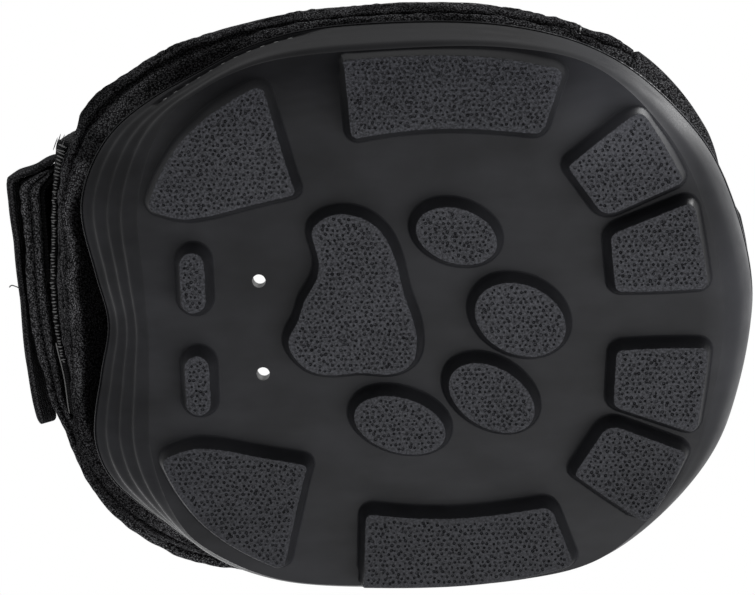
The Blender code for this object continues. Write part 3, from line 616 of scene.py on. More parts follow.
def lug_faces():
    """Outlines of the tread's lug faces, read from the sole's own solid, anticlockwise."""
    shape = bmesh.new()
    shape.from_mesh(frame["nodes"]["outsole"].data)
    bmesh.ops.remove_doubles(shape, verts=shape.verts, dist=0.01 * MM)
    shape.verts.ensure_lookup_table()
    low = {face for face in shape.faces if max(v.co.z for v in face.verts) < 0.05 * MM}
    border = [edge for edge in shape.edges if sum(face in low for face in edge.link_faces) == 1]
    outlines = []
    for loop in closed_loops(border):
        points = np.array([shape.verts[k].co[:2] for k in loop])
        after = np.roll(points, -1, axis=0)
        area = np.sum(points[:, 0] * after[:, 1] - after[:, 0] * points[:, 1])
        outlines.append(points if area > 0.0 else points[::-1])
    shape.free()
    return outlines


def rounded(points):
    """A closed outline with arcs in place of its corners, at even steps."""
    before = np.roll(points, 1, axis=0)
    after = np.roll(points, -1, axis=0)
    back = np.linalg.norm(before - points, axis=1)
    ahead = np.linalg.norm(after - points, axis=1)
    turn = np.sum((points - before) * (after - points), axis=1) / (back * ahead)
    cut = 0.48 * np.minimum(back, ahead)
    cut = np.where(turn > 0.88, cut, np.minimum(cut, CORNER_CUT))
    smooth = []
    for k, point in enumerate(points):
        start = point + (before[k] - point) * cut[k] / back[k]
        stop = point + (after[k] - point) * cut[k] / ahead[k]
        for t in np.linspace(0.0, 1.0, 7):
            smooth.append((1 - t) ** 2 * start + 2 * t * (1 - t) * point + t ** 2 * stop)
    return even(np.array(smooth), LUG_STEP)


def even(points, step):
    """A closed outline walked at equal steps."""
    closed = np.concatenate((points, points[:1]))
    run = np.concatenate(([0.0], np.cumsum(np.linalg.norm(np.diff(closed, axis=0), axis=1))))
    count = max(12, int(round(run[-1] / step)))
    places = np.arange(count) * run[-1] / count
    return np.stack([np.interp(places, run, closed[:, k]) for k in range(2)], axis=1)


def outward_of(points):
    """Unit normals of an anticlockwise outline, pointing out of it."""
    run = np.roll(points, -1, axis=0) - np.roll(points, 1, axis=0)
    normal = np.stack((run[:, 1], -run[:, 0]), axis=1)
    return normal / np.linalg.norm(normal, axis=1, keepdims=True)


def nearest(points, others):
    """Distance from each point to the nearest of the others."""
    if len(points) == 0:
        return np.zeros(0)
    return np.min(np.linalg.norm(points[:, None, :] - others[None, :, :], axis=2), axis=1)


def inside(points, loop):
    """True for the points that lie inside a closed outline."""
    x, y = points[:, :1], points[:, 1:]
    after = np.roll(loop, -1, axis=0)
    crosses = (loop[:, 1] > y) != (after[:, 1] > y)
    slope = (after[:, 0] - loop[:, 0]) / np.where(after[:, 1] == loop[:, 1], 1.0, after[:, 1] - loop[:, 1])
    return np.sum(crosses & (x < loop[:, 0] + slope * (y - loop[:, 1])), axis=1) % 2 == 1


def foot_reach(loop, others, plate):
    """How far a lug's foot spreads at each point: less where the plate's edge or a lug is near."""
    reach = np.minimum(LUG_FOOT, nearest(loop, plate) - 0.3 * MM)
    reach = np.minimum(reach, nearest(loop, others) / 2.0 - 0.15 * MM)
    wide = np.concatenate([np.roll(reach[:, None], k, axis=0) for k in range(-5, 6)], axis=1)
    return np.maximum(np.min(wide, axis=1) * 0.5 + np.mean(wide, axis=1) * 0.5, 0.1 * MM)


def hexagons(low, high, pitch, jitter, chance):
    """Points on a hexagonal grid over a box, each moved a little."""
    rows = np.arange(low[1], high[1], pitch * math.sqrt(0.75))
    points = []
    for k, y in enumerate(rows):
        for x in np.arange(low[0] + (k % 2) * pitch / 2.0, high[0], pitch):
            points.append((x + chance.uniform(-jitter, jitter), y + chance.uniform(-jitter, jitter)))
    return np.array(points)


def flat_fill(loops, points, z_of_points=None):
    """Triangles that fill the first loop around the other loops, using extra points inside."""
    flat = [Vector(point) for loop in loops for point in loop] + [Vector(point) for point in points]
    faces = []
    first = 0
    for loop in loops:
        faces.append(list(range(first, first + len(loop))))
        first += len(loop)
    made, _, triangles, origin, _, from_face = delaunay_2d_cdt(flat, [], faces, 1, 0.00001 * MM, True)
    kept = [t for t, source in zip(triangles, from_face) if set(source) == {0}]
    heights = np.zeros(len(made))
    for k, source in enumerate(origin):
        if z_of_points is not None and source and source[0] >= first:
            heights[k] = z_of_points[source[0] - first]
    return np.array([tuple(v) for v in made]), heights, kept


class Shape:
    """Vertices, faces and painted shares gathered for one mesh."""

    def __init__(self):
        self.points = []
        self.faces = []
        self.paint = []

    def add(self, points, faces, **shares):
        first = len(self.points)
        self.points.extend(map(tuple, points))
        self.faces.extend([first + k for k in face] for face in faces)
        columns = [np.broadcast_to(shares.get(name, 0.0), len(points)) for name in ("pit", "face")]
        self.paint.extend(zip(*columns))

    def strips(self, rings, **shares):
        """Quads between closed rings of the same count."""
        count = len(rings[0])
        faces = []
        for ring in range(len(rings) - 1):
            for k in range(count):
                there = (k + 1) % count
                a = ring * count
                faces.append((a + k, a + there, a + count + there, a + count + k))
        self.add(np.concatenate(rings), faces, **shares)

    def piece(self, name, sharp_degrees):
        mesh = bpy.data.meshes.new(name)
        mesh.from_pydata(self.points, [], self.faces)
        for column, key in enumerate(("pit", "face")):
            layer = mesh.attributes.new(key, "FLOAT", "POINT")
            layer.data.foreach_set("value", np.array([row[column] for row in self.paint], np.float32))
        made = bpy.data.objects.new(name, mesh)
        bpy.context.scene.collection.objects.link(made)
        made.select_set(True)
        close_up(made, sharp_degrees)
        return made


def lifted(points, z):
    return np.column_stack((points, np.broadcast_to(z, len(points))))


def pitted_face(shape, loop, chance):
    """A lug's face: a smooth border, and inside it round pits with a crown in each."""
    low = loop.min(axis=0)
    high = loop.max(axis=0)
    centres = hexagons(low, high, PIT_PITCH, 0.34 * MM, chance)
    centres = centres[inside(centres, loop)]
    centres = centres[nearest(centres, loop) > PIT_MARGIN]
    points = []
    heights = []
    for centre in centres:
        radius = PIT_RADIUS * chance.uniform(0.66, 1.12)
        depth = PIT_DEPTH * chance.uniform(0.7, 1.15)
        turn = chance.uniform(0.0, 1.0)
        points.append(centre)
        heights.append(depth * 0.22)
        for reach, sunk in PIT_RINGS:
            for k in range(6):
                angle = (k + turn) * math.tau / 6.0
                points.append(centre + radius * reach * np.array((math.cos(angle), math.sin(angle))))
                heights.append(depth * sunk)
    flat, z, faces = flat_fill([loop], points, heights)
    shape.add(lifted(flat, z), faces, pit=np.clip(z / PIT_DEPTH, 0.0, 1.0), face=1.0)


# Middle of the stitched band: place round the heel (1), height on the wall
BAND = np.array(((1.24, 0.70), (1.28, 0.76), (1.30, 0.80), (1.34, 0.84), (1.44, 0.87)))


def band(w, height):
    """Share of the sunk band for stitches, low behind the rim at the right rear."""
    turned = np.mod(w, 2.0)
    along = smoothstep(1.243, 1.249, turned) * (1.0 - smoothstep(1.40, 1.44, turned))
    middle = np.interp(turned, *BAND.T)
    return along * (1.0 - smoothstep(0.075, 0.100, np.abs(height - middle)))


def band_point(w, height):
    return shift(shell_point(w, height), w, -0.75 * MM * band(w, height), RIM_CURVE)


def wall_rings():
    """Rings of the sole's wall, from the plate's edge over the lip and down to the floor."""
    w = np.arange(RING) * 2.0 / RING
    rings = [band_point(w, h + 0.0 * w) for h in WALL_HEIGHTS]
    top = shell_point(w, 1.0)
    lip = ((0.25, -0.55), (0.42, -0.15), (0.30, 0.12), (-0.10, 0.22), (-0.9, 0.1), (-1.8, 0.0),
           (-2.35, -0.2), (-2.6, -0.8))
    for out, up in lip:
        ring = shift(top, w, out * MM, RIM_CURVE)
        ring[:, 2] += up * MM - 0.25 * MM
        rings.append(ring)
    for share in (0.93, 0.8, 0.6, 0.4, 0.2, 0.07, 0.0):
        z = FLOOR + (rim_height(w) - FLOOR) * share
        ring = shell_point(w, (z - LUG_HEIGHT) / (rim_height(w) - LUG_HEIGHT))
        wall = np.interp(share, (0.0, 0.5, 1.0), (FLOOR_WALL, MID_WALL, RIM_WALL)) + CLEARANCE
        rings.append(shift(ring, w, -wall + 0.0 * w, RIM_CURVE))
    return rings


def circle(centre, radius, count):
    angle = np.arange(count) * math.tau / count
    return np.column_stack((centre[0] + radius * np.cos(angle), centre[1] + radius * np.sin(angle)))


def outsole(finish):
    """Moulded cup: pitted lugs on a smooth plate, ridged heel, flared wall and thin lip."""
    chance = random.Random(3)
    shape = Shape()
    rings = wall_rings()
    w = np.arange(RING) * 2.0 / RING
    # Painted shade in the sunk stitched band on the wall
    sunk = [0.9 * band(w, h + 0.0 * w) for h in WALL_HEIGHTS]
    # Painted glint: negative painted shade on the lip's three outer rings round the front of the sole
    glint = -1.3 * (1.0 - smoothstep(0.34, 0.44, np.abs(wrap(w))))
    sunk += [glint] * 3 + [0.0 * w] * (len(rings) - len(sunk) - 3)
    shape.strips(rings, pit=np.concatenate(sunk))
    plate = rings[0][:, :2]
    faces = [rounded(loop) for loop in lug_faces()]
    feet = []
    for k, loop in enumerate(faces):
        others = np.concatenate([other for j, other in enumerate(faces) if j != k])
        normal = outward_of(loop)
        reach = foot_reach(loop, others, plate)
        wall = []
        for out, share, z in LUG_WALL:
            distance = out + share * reach
            wall.append(lifted(loop + normal * distance[:, None], z))
        shape.strips(wall[:3], face=1.0)
        shape.strips(wall[2:])
        pitted_face(shape, wall[0][:, :2], chance)
        feet.append(wall[-1][:, :2])
    drains = [circle((DRAIN_X, side * DRAIN_Y), DRAIN_RADIUS, 28) for side in (-1.0, 1.0)]
    for ring, z, holes in ((plate, LUG_HEIGHT, feet + drains), (rings[-1][:, :2], FLOOR, drains)):
        points = hexagons(ring.min(axis=0), ring.max(axis=0), PLATE_PITCH, 0.2 * MM, chance)
        clear = inside(points, ring) & (nearest(points, ring) > 1.0 * MM)
        for hole in holes:
            clear &= ~inside(points, hole) & (nearest(points, hole) > 0.9 * MM)
        flat, _, triangles = flat_fill([ring, *holes], points[clear])
        shape.add(lifted(flat, z), triangles)
    for drain in drains:
        shape.strips([lifted(drain, z) for z in (LUG_HEIGHT, 9.0 * MM, FLOOR)])
    piece = shape.piece("sole", 34.0)
    piece.data.materials.append(finish)
    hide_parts("outsole")
    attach(piece, "root")
    return piece


# Camera, floor and light
FOCAL_PIXELS = 2500.0
IMAGE_WIDTH = 755.0
SENSOR = 36.0
CAMERA_PITCH = math.radians(11.70)
CAMERA_YAW = math.radians(-0.64)
CAMERA_ROLL = math.radians(2.05)
CAMERA_SIDE = -8.36 * MM
CAMERA_DISTANCE = 643.75 * MM


def camera():
    """The photograph's view: from below, a little towards the boot's left side."""
    turn = (
        Matrix.Rotation(CAMERA_PITCH, 3, "X")
        @ Matrix.Rotation(CAMERA_YAW, 3, "Y")
        @ Matrix.Rotation(CAMERA_ROLL, 3, "Z")
    )
    across, up, near = (turn.col[k] for k in range(3))
    seen = Matrix((across, -up, -near)).transposed()
    offset = Vector((0.0, 0.0, -CAMERA_DISTANCE)) + up * CAMERA_SIDE
    made = bpy.data.objects.new("camera", bpy.data.cameras.new("camera"))
    made.data.sensor_width = SENSOR
    made.data.lens = SENSOR * FOCAL_PIXELS / IMAGE_WIDTH
    made.data.clip_start = 10.0 * MM
    made.data.clip_end = 20.0
    made.matrix_world = Matrix.Translation(-(seen.transposed() @ offset)) @ seen.transposed().to_4x4()
    bpy.context.scene.collection.objects.link(made)
    bpy.context.scene.camera = made


def floor():
    """Pale floor. From below it is clear, so that the sole shows as in the photograph."""
    bpy.ops.mesh.primitive_plane_add(size=6.0, location=(0.0, 0.0, 0.0))
    piece = bpy.context.active_object
    piece.name = "studio_floor"
    piece.select_set(False)
    pale = Finish("pale_floor")
    place = pale.place()
    speckle = pale.noise(place, 3.0, 3.0)
    tone = pale.mixed(speckle, (0.80, 0.80, 0.80, 1.0), (0.86, 0.86, 0.86, 1.0))
    pale.finished(Base_Color=tone, Roughness=0.9)
    back = pale.node("NewGeometry", output="Backfacing")
    seen = pale.node("LightPath", output="Is Camera Ray")
    clear = pale.tree.nodes.new("ShaderNodeBsdfTransparent")
    mix = pale.tree.nodes.new("ShaderNodeMixShader")
    pale.tree.links.new((seen * (1.0 - back)).socket, mix.inputs[0])
    pale.tree.links.new(clear.outputs[0], mix.inputs[1])
    pale.tree.links.new(pale.shader.outputs[0], mix.inputs[2])
    pale.tree.links.new(mix.outputs[0], pale.tree.nodes["Material Output"].inputs["Surface"])
    piece.data.materials.append(pale.material)


def lamp(name, place, size, power):
    """A soft square lamp that looks at the boot."""
    light = bpy.data.lights.new(name, "AREA")
    light.shape = "SQUARE"
    light.size = size
    light.energy = power
    made = bpy.data.objects.new(name, light)
    made.location = place
    made.rotation_euler = (Vector((0.0, 0.0, 0.04)) - Vector(place)).to_track_quat("-Z", "Y").to_euler()
    bpy.context.scene.collection.objects.link(made)


def world():
    """White where it is looked at, and soft grey light everywhere else."""
    made = bpy.data.worlds.new("studio")
    bpy.context.scene.world = made
    made.use_nodes = True
    tree = made.node_tree
    background = tree.nodes["Background"]
    rays = tree.nodes.new("ShaderNodeLightPath")
    seen = tree.nodes.new("ShaderNodeMath")
    seen.operation = "MAXIMUM"
    tree.links.new(rays.outputs["Is Camera Ray"], seen.inputs[0])
    tree.links.new(rays.outputs["Is Transmission Ray"], seen.inputs[1])
    mirrored = tree.nodes.new("ShaderNodeMath")
    mirrored.operation = "MAXIMUM"
    tree.links.new(seen.outputs[0], mirrored.inputs[0])
    tree.links.new(rays.outputs["Is Glossy Ray"], mirrored.inputs[1])
    level = tree.nodes.new("ShaderNodeMix")
    tree.links.new(mirrored.outputs[0], level.inputs[0])
    level.inputs[2].default_value = WORLD_LIGHT
    level.inputs[3].default_value = 1.0
    background.inputs["Color"].default_value = (1.0, 1.0, 1.0, 1.0)
    tree.links.new(level.outputs[0], background.inputs["Strength"])


WORLD_LIGHT = 0.55


def stage():
    camera()
    floor()
    world()
    lamp("sole_key", (0.66, 0.24, -0.80), 0.7, 9.0)
    lamp("sole_fill", (0.12, 0.62, -0.88), 0.7, 4.6)
    lamp("top_key", (0.5, -0.7, 0.9), 0.7, 14.0)
    lamp("top_fill", (-0.7, 0.6, 0.7), 0.8, 8.0)
    bpy.context.scene.view_settings.view_transform = "Standard"


def mesh_finish(name):
    """Spacer mesh: knitted beads of thread with dark gaps between; painted shadow makes it almost black in deep
    folds, and negative painted shadow lightens the heel's rolls.
    """
    cloth = Finish(name)
    place = cloth.place()
    drift = cloth.noise(place, 3.0, 2.0)
    moved = cloth.node("VectorMath", {"operation": "ADD"}, {0: place, 1: drift * 1.6})
    beads = cloth.spots(moved, 0.54, randomness=0.9)
    fluff = cloth.noise(place, 0.30, 3.0, 0.7)
    worn = cloth.noise(place, 6.0, 3.0)
    crown = cloth.ramp(beads, (0.10, 1.0), (0.66, 0.0))
    lit = crown * cloth.ramp(fluff, (0.40, 0.12), (0.60, 1.0))
    shadow = cloth.attribute("shadow")
    shade = (0.003 + lit * 0.225 + worn * 0.010) * (1.0 - shadow * 0.94)
    tone = cloth.node("CombineColor", {}, {"Red": shade, "Green": shade, "Blue": shade * 1.05})
    return cloth.finished(
        Base_Color=tone, Roughness=0.80 + worn * 0.15, Normal=cloth.bump(crown + fluff * 0.5, 0.42 * MM),
        Specular_IOR_Level=0.0,
    )


def woven_finish(name, pitch, shade, thread):
    """Plain weave: each thread shows as a small rounded float, over and under by turns."""
    cloth = Finish(name)
    place = cloth.place()
    laid = cloth.laid()
    u = laid[0] * (math.pi / pitch)
    v = laid[1] * (math.pi / pitch)
    across = cloth.function("SINE", u)
    along = cloth.function("SINE", v)
    over = cloth.ramp(across * along * 0.5 + 0.5, (0.42, 0.0), (0.58, 1.0))
    floats = over * cloth.function("ABSOLUTE", along) + (1.0 - over) * cloth.function("ABSOLUTE", across)
    fluff = cloth.noise(place, 0.3, 2.0, 0.6)
    worn = cloth.noise(place, 12.0, 3.0)
    tone = shade + floats * thread + worn * 0.004
    tone = cloth.node("CombineColor", {}, {"Red": tone, "Green": tone, "Blue": tone * 1.05})
    return cloth.finished(
        Base_Color=tone, Roughness=0.65 + worn * 0.25,
        Normal=cloth.bump(floats + fluff * 0.3, 0.22 * MM), Specular_IOR_Level=0.20,
    )


def lining_finish():
    """Soft knitted lining with fine ribs."""
    cloth = Finish("soft_lining")
    place = cloth.place()
    laid = cloth.laid()
    ribs = cloth.function("SINE", laid[1] * (math.tau / 0.9)) * 0.5 + 0.5
    fluff = cloth.noise(place, 0.5, 3.0, 0.65)
    worn = cloth.noise(place, 14.0, 3.0)
    shade = 0.012 + ribs * 0.005 + fluff * 0.010 + worn * 0.008
    tone = cloth.node("CombineColor", {}, {"Red": shade, "Green": shade, "Blue": shade * 1.05})
    return cloth.finished(
        Base_Color=tone, Roughness=0.85 + worn * 0.1, Normal=cloth.bump(ribs * 0.5 + fluff, 0.25 * MM),
        Sheen_Weight=0.2,
    )


def hook_finish():
    """Hook tape: close rows of small stiff hooks on a tight ground."""
    tape = Finish("hook_tape")
    laid = tape.laid()
    dots = tape.spots(laid, 1.0, randomness=0.25)
    hooks = tape.ramp(dots, (0.18, 1.0), (0.42, 0.0))
    worn = tape.noise(tape.place(), 5.0, 2.0)
    shade = 0.003 + hooks * 0.009 + worn * 0.002
    tone = tape.node("CombineColor", {}, {"Red": shade, "Green": shade, "Blue": shade * 1.04})
    return tape.finished(
        Base_Color=tone, Roughness=0.75 + worn * 0.25, Normal=tape.bump(hooks + worn * 0.2, 0.45 * MM),
        Specular_IOR_Level=0.0,
    )


def loop_finish():
    """Loop tape: a felted pile that scatters light."""
    tape = Finish("loop_tape")
    place = tape.place()
    pile = tape.noise(place, 0.38, 4.0, 0.75)
    matted = tape.noise(place, 6.0, 3.0)
    ribs = tape.function("SINE", tape.laid()[0] * (math.tau / 0.65)) * 0.5 + 0.5
    shade = 0.003 + pile * 0.012 + ribs * pile * 0.030 + matted * 0.004
    tone = tape.node("CombineColor", {}, {"Red": shade, "Green": shade, "Blue": shade * 1.05})
    return tape.finished(
        Base_Color=tone, Roughness=0.88 + matted * 0.1, Normal=tape.bump(pile + ribs * 0.5, 0.5 * MM),
        Specular_IOR_Level=0.10,
    )


def webbing_finish():
    """Webbing: ribs along its length, crossed by fine weft."""
    strap = Finish("webbing")
    laid = strap.laid()
    ribs = strap.function("ABSOLUTE", strap.function("SINE", laid[1] * (math.pi / 2.1))) * 0.8 + 0.2
    weft = strap.function("SINE", laid[0] * (math.tau / 0.9) + strap.function("FLOOR", laid[1] / 0.9) * math.pi)
    fluff = strap.noise(strap.place(), 0.42, 4.0, 0.75)
    lit = strap.ramp(fluff, (0.42, 0.05), (0.60, 1.0)) * ribs * (weft * 0.35 + 0.65)
    shade = 0.004 + lit * 0.130
    tone = strap.node("CombineColor", {}, {"Red": shade, "Green": shade, "Blue": shade * 1.05})
    return strap.finished(
        Base_Color=tone, Roughness=0.5 + fluff * 0.3,
        Normal=strap.bump(ribs + weft * 0.3 + fluff * 0.4, 0.25 * MM), Specular_IOR_Level=0.0,
    )


def leather_finish():
    """Brown leather: fine grain, darker in its creases."""
    hide = Finish("brown_leather")
    place = hide.place()
    grain = hide.spots(place, 0.85, "DISTANCE_TO_EDGE")
    pores = hide.ramp(grain, (0.0, 0.0), (0.16, 1.0))
    cloud = hide.noise(place, 7.0, 3.0)
    tone = hide.mixed(cloud, (0.150, 0.058, 0.022, 1.0), (0.330, 0.150, 0.068, 1.0))
    tone = hide.mixed(pores, (0.060, 0.024, 0.010, 1.0), tone)
    return hide.finished(
        Base_Color=tone, Roughness=0.42 + cloud * 0.2, Normal=hide.bump(pores + cloud, 0.12 * MM),
    )


def thread_finish(name, shade):
    """Twisted sewing thread with a slight shine."""
    thread = Finish(name)
    place = thread.place()
    strands = thread.noise(place, 0.35, 2.0)
    tone = shade * (0.6 + strands * 0.8)
    tone = thread.node("CombineColor", {}, {"Red": tone, "Green": tone, "Blue": tone})
    return thread.finished(Base_Color=tone, Roughness=0.4 + strands * 0.2, Normal=thread.bump(strands, 0.1 * MM))


def settled(piece, finish, body, slot, *nodes):
    """Give a piece its finish and its body, and hide the solids that it stands for; its slot is not used."""
    piece.data.materials.clear()
    piece.data.materials.append(finish)
    if body is not None:
        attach(piece, body)
    if nodes:
        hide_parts(*nodes)
    return piece


def hump(value, low, high):
    """Half an ellipse between two borders: one in the middle, nothing outside."""
    share = (value - (low + high) / 2.0) / ((high - low) / 2.0)
    return np.sqrt(np.clip(1.0 - share ** 2, 0.0, 1.0))


# How far the lower roll lifts off the rim round the notch of the heel
NOTCH = np.array((
    (0.88, 0.0), (0.92, 0.75), (0.96, 1.0), (1.00, 1.3), (1.035, 1.3), (1.07, 0.6), (1.10, 0.5), (1.13, 0.0),
))


def roll_lines(w):
    """Heights at which the upper's lower roll starts and where it meets the upper roll."""
    run = np.abs(wrap(w))
    rear = smoothstep(0.80, 0.88, run)
    notch = np.interp(np.mod(np.asarray(w, float), 2.0), *NOTCH.T)
    return 0.022 + 0.022 * rear + 0.050 * notch, 0.112 + 0.012 * rear + 0.064 * notch


def hollow(w):
    """Stretch at the right rear where the lower roll sinks behind the rim."""
    return smoothstep(-0.735, -0.715, w) * (1.0 - smoothstep(-0.665, -0.62, w))


# How far the strap and its tapes draw the upper in: place round the heel (1), millimetres
DRAWN_IN = np.array((
    (0.700, 0.0), (0.762, 0.2), (0.803, 1.2), (0.842, 1.9), (0.883, 2.6), (0.919, 2.5), (0.950, 1.3),
    (0.980, 0.2), (1.020, 0.0), (1.100, 1.3), (1.185, 1.2), (1.213, 0.3), (1.235, 0.8), (1.252, 1.1),
    (1.280, 0.6), (1.310, 1.0), (1.340, 1.5), (1.370, 1.0), (1.410, 0.4), (1.500, 0.2), (1.600, 0.4),
    (1.700, 0.0),
))


def drawn_in(w, v=0.6):
    """How far in the cloth lies there; it fades towards the rim and the top."""
    turned = np.mod(np.asarray(w, float), 2.0)
    taps = np.linspace(-0.012, 0.012, 5)
    drawn = MM * sum(np.interp(turned + tap, *DRAWN_IN.T) for tap in taps) / len(taps)
    return drawn * smoothstep(0.12, 0.30, v) * (1.0 - smoothstep(0.90, 0.98, v))


def toe_puff(w, v):
    """Extra padding of the cloth on both sides of the toe, in millimetres."""
    right = 1.2 * smoothstep(0.114, 0.165, -w) * (1.0 - smoothstep(0.258, 0.308, -w))
    left = 1.75 * smoothstep(0.09, 0.17, w) * (1.0 - smoothstep(0.235, 0.295, w))
    return (right + left) * smoothstep(0.03, 0.13, v) * (1.0 - smoothstep(0.38, 0.46, v))


def roll_relief(w, v):
    """The upper's lower edge: two padded rolls with a sewn valley, lumpy above the rim."""
    start, valley = roll_lines(w)
    lower = hump(v, start, valley) * (1.0 - 0.85 * hollow(w))
    upper = hump(v, valley, 0.385)
    crown = np.maximum(lower, upper)
    rough = 0.38 * lumps(w, v, 8.0, 5) + 0.34 * lumps(w, v, 3.4, 6) + 0.16 * lumps(w, v, 2.1, 7)
    heap = 1.3 * smoothstep(-0.82, -0.80, w) * (1.0 - smoothstep(-0.785, -0.755, w)) * upper
    rolls = -1.7 + crown * (1.85 + rough) + heap
    rolls = rolls - 0.8 * (1.0 - smoothstep(start - 0.012, start + 0.012, v))
    above = -0.20 + 0.20 * lumps(w, v, 4.5, 9) + 0.10 * lumps(w, v, 2.2, 10) - 0.6 * channel(v, 0.93, 0.014)
    share = smoothstep(0.355, 0.41, v)
    return (rolls * (1.0 - share) + above * share) * MM - drawn_in(w, v)


def roll_shadow(w, v):
    """Painted shadow on the cloth: the deep fold between the rim and the lower roll, the hollow, low at the left
    rear, the creases between the rolls, and streaks along them; negative values are painted light on the heel's
    rolls.
    """
    start, valley = roll_lines(w)
    run = np.abs(wrap(w))
    rear = smoothstep(0.82, 0.88, run)
    fold = (1.0 - smoothstep(start - 0.006 + 0.010 * rear, start + 0.016 + 0.008 * rear, v)) * (0.5 + 0.5 * rear)
    sunk = 0.8 * hollow(w) * (1.0 - smoothstep(valley - 0.03, valley + 0.01, v))
    under = 0.7 * smoothstep(0.73, 0.80, w) * (1.0 - smoothstep(0.90, 0.95, w))
    under = under * (1.0 - smoothstep(0.30, 0.40, v))
    creases = 0.97 * channel(v, valley + 0.013 - 0.025 * rear, 0.020 + 0.016 * rear)
    creases = creases + 0.85 * channel(v, 0.378 - 0.096 * rear, 0.016)
    streaks = 0.6 * smoothstep(0.10, 0.65, lumps(w * 0.20, v, 2.2, 61)) * (1.0 - smoothstep(0.34, 0.40, v))
    dark = np.clip(np.maximum.reduce((fold, sunk, under, creases, streaks)), 0.0, 1.0)
    # Painted light: negative shadow lightens the heel's rolls below the tape
    return dark - 0.40 * (1.0 - dark) * rear * (1.0 - smoothstep(0.40, 0.46, v))


def side_relief(w, v):
    run = np.abs(w)
    seams = 0.8 * channel(run, 0.60, 0.004) * smoothstep(0.40, 0.42, v)
    return roll_relief(w, v) + (toe_puff(w, v) - seams) * MM


def lining_relief(w, v):
    """Quilted inside: channels up the wall, and one round the top."""
    lines = channel((np.abs(wrap(w)) * 18.0) % 1.0, 0.5, 0.085)
    return (1.1 * lines * smoothstep(0.05, 0.12, v) + 0.8 * channel(v, 0.90, 0.016)) * MM


PANEL_ROWS = np.concatenate(
    (np.linspace(0.0, 0.27, 8), np.linspace(0.285, 0.57, 60), np.linspace(0.58, 1.0, 34))
)


def uppers(mesh, vamp):
    for name, side in (("upper_left", 1.0), ("upper_right", -1.0)):
        piece = panel("shown_" + name, (side * 0.262, side * 0.842), (-0.40, 1.0), depths(-PANEL, 0.0),
                      (210, PANEL_ROWS, 20), relief=side_relief, shadow=roll_shadow, end_share=0.25)
        settled(piece, mesh, "root", "mesh", name)
    piece = panel("shown_heel_panel", (0.838, 1.162), (-0.40, 1.0), depths(-PANEL, 0.0),
                  (130, PANEL_ROWS, 20), relief=roll_relief, shadow=roll_shadow, end_share=0.25)
    settled(piece, mesh, "root", "mesh", "heel_panel")

    def vamp_relief(w, v):
        folds = 0.10 * lumps(w, v, 12.0, 11) - 0.12
        return (folds + toe_puff(w, v) - 0.5 * channel(v, 0.475, 0.012)) * MM

    piece = panel("shown_toe_vamp", (-0.2615, 0.2615), (-0.40, 0.54), depths(-PANEL, 0.0), (120, 56, 16),
                  relief=vamp_relief, end_share=0.25)
    settled(piece, vamp, "root", "woven", "toe_vamp")


def linings(finish):
    for name, run in (
        ("lining_left", (0.206, 0.838)), ("lining_right", (-0.206, -0.838)), ("heel_pad", (0.842, 1.158)),
    ):
        piece = panel("shown_" + name, run, (-0.40, 1.0), depths(*LINING), (170, 16, 60),
                      inner_relief=lining_relief)
        settled(piece, finish, "root", "lining", name)


def collar(name, run, finish, body="root"):
    """A padded roll along the top, with a sewn seam low on both sides."""
    length = abs(run[1] - run[0]) * RIM_RUN[-1]
    places, full = end_steps(length, 6.0 * MM, 110)
    w = np.interp(places, (0.0, length), run)
    turn = np.linspace(0.0, math.tau, 45)[:, None]
    size = 0.35 + 0.65 * full[None, :]
    ww = np.broadcast_to(w, (len(turn), len(w)))
    puff = 1.0 + 0.035 * lumps(ww, turn * 0.2, 14.0, 21) + 0.02 * lumps(ww, turn * 0.3, 5.0, 22)
    seam = 0.13 * channel(np.sin(turn), -0.80, 0.10)
    radius = (puff - seam) * size
    middle = -(PANEL + 3.5 * MM) / 2.0 - 0.9 * MM
    points = wall_point(ww, 1.0, middle + 4.7 * MM * radius * np.cos(turn))
    points[..., 2] += CLEARANCE + 7.5 * MM + 7.4 * MM * radius * np.sin(turn)
    piece = wrapped("shown_" + name, points)
    close_up(piece)
    settled(piece, finish, body, "mesh", name)


def cord_along(name, w, v, depth, radius, finish, lift=0.0):
    """A thin round piping along the upper, closed at both ends."""
    line = wall_point(w, v, depth)
    line[:, 2] += lift
    return tube(name, line, radius, finish)


def tube(name, line, radius, finish):
    ahead = np.gradient(line, axis=0)
    ahead /= np.linalg.norm(ahead, axis=1, keepdims=True)
    side = np.cross(ahead, (0.0, 0.0, 1.0))
    side /= np.linalg.norm(side, axis=1, keepdims=True)
    above = np.cross(side, ahead)
    turn = np.linspace(0.0, math.tau, 13)[:, None, None]
    size = np.ones(len(line))
    size[0] = size[-1] = 0.5
    ring = (side[None] * np.cos(turn) + above[None] * np.sin(turn)) * (radius * size)[None, :, None]
    piece = wrapped(name, line[None] + ring)
    close_up(piece)
    piece.data.materials.append(finish)
    return piece


def collars(mesh, webbing):
    collar("collar_left", (0.292, 0.8075), mesh)
    collar("collar_right", (-0.292, -0.8075), mesh)
    collar("collar_rear", (0.8085, 1.1915), mesh)
    for name, start, stop in (("left", 0.27, 0.838), ("right", -0.27, -0.838), ("rear", 0.842, 1.158)):
        w = np.linspace(start, stop, 90)
        piping = cord_along("piping_" + name, w, 1.0, -0.3 * MM, 0.95 * MM, webbing, 0.2 * MM)
        settled(piping, webbing, "root", "webbing")


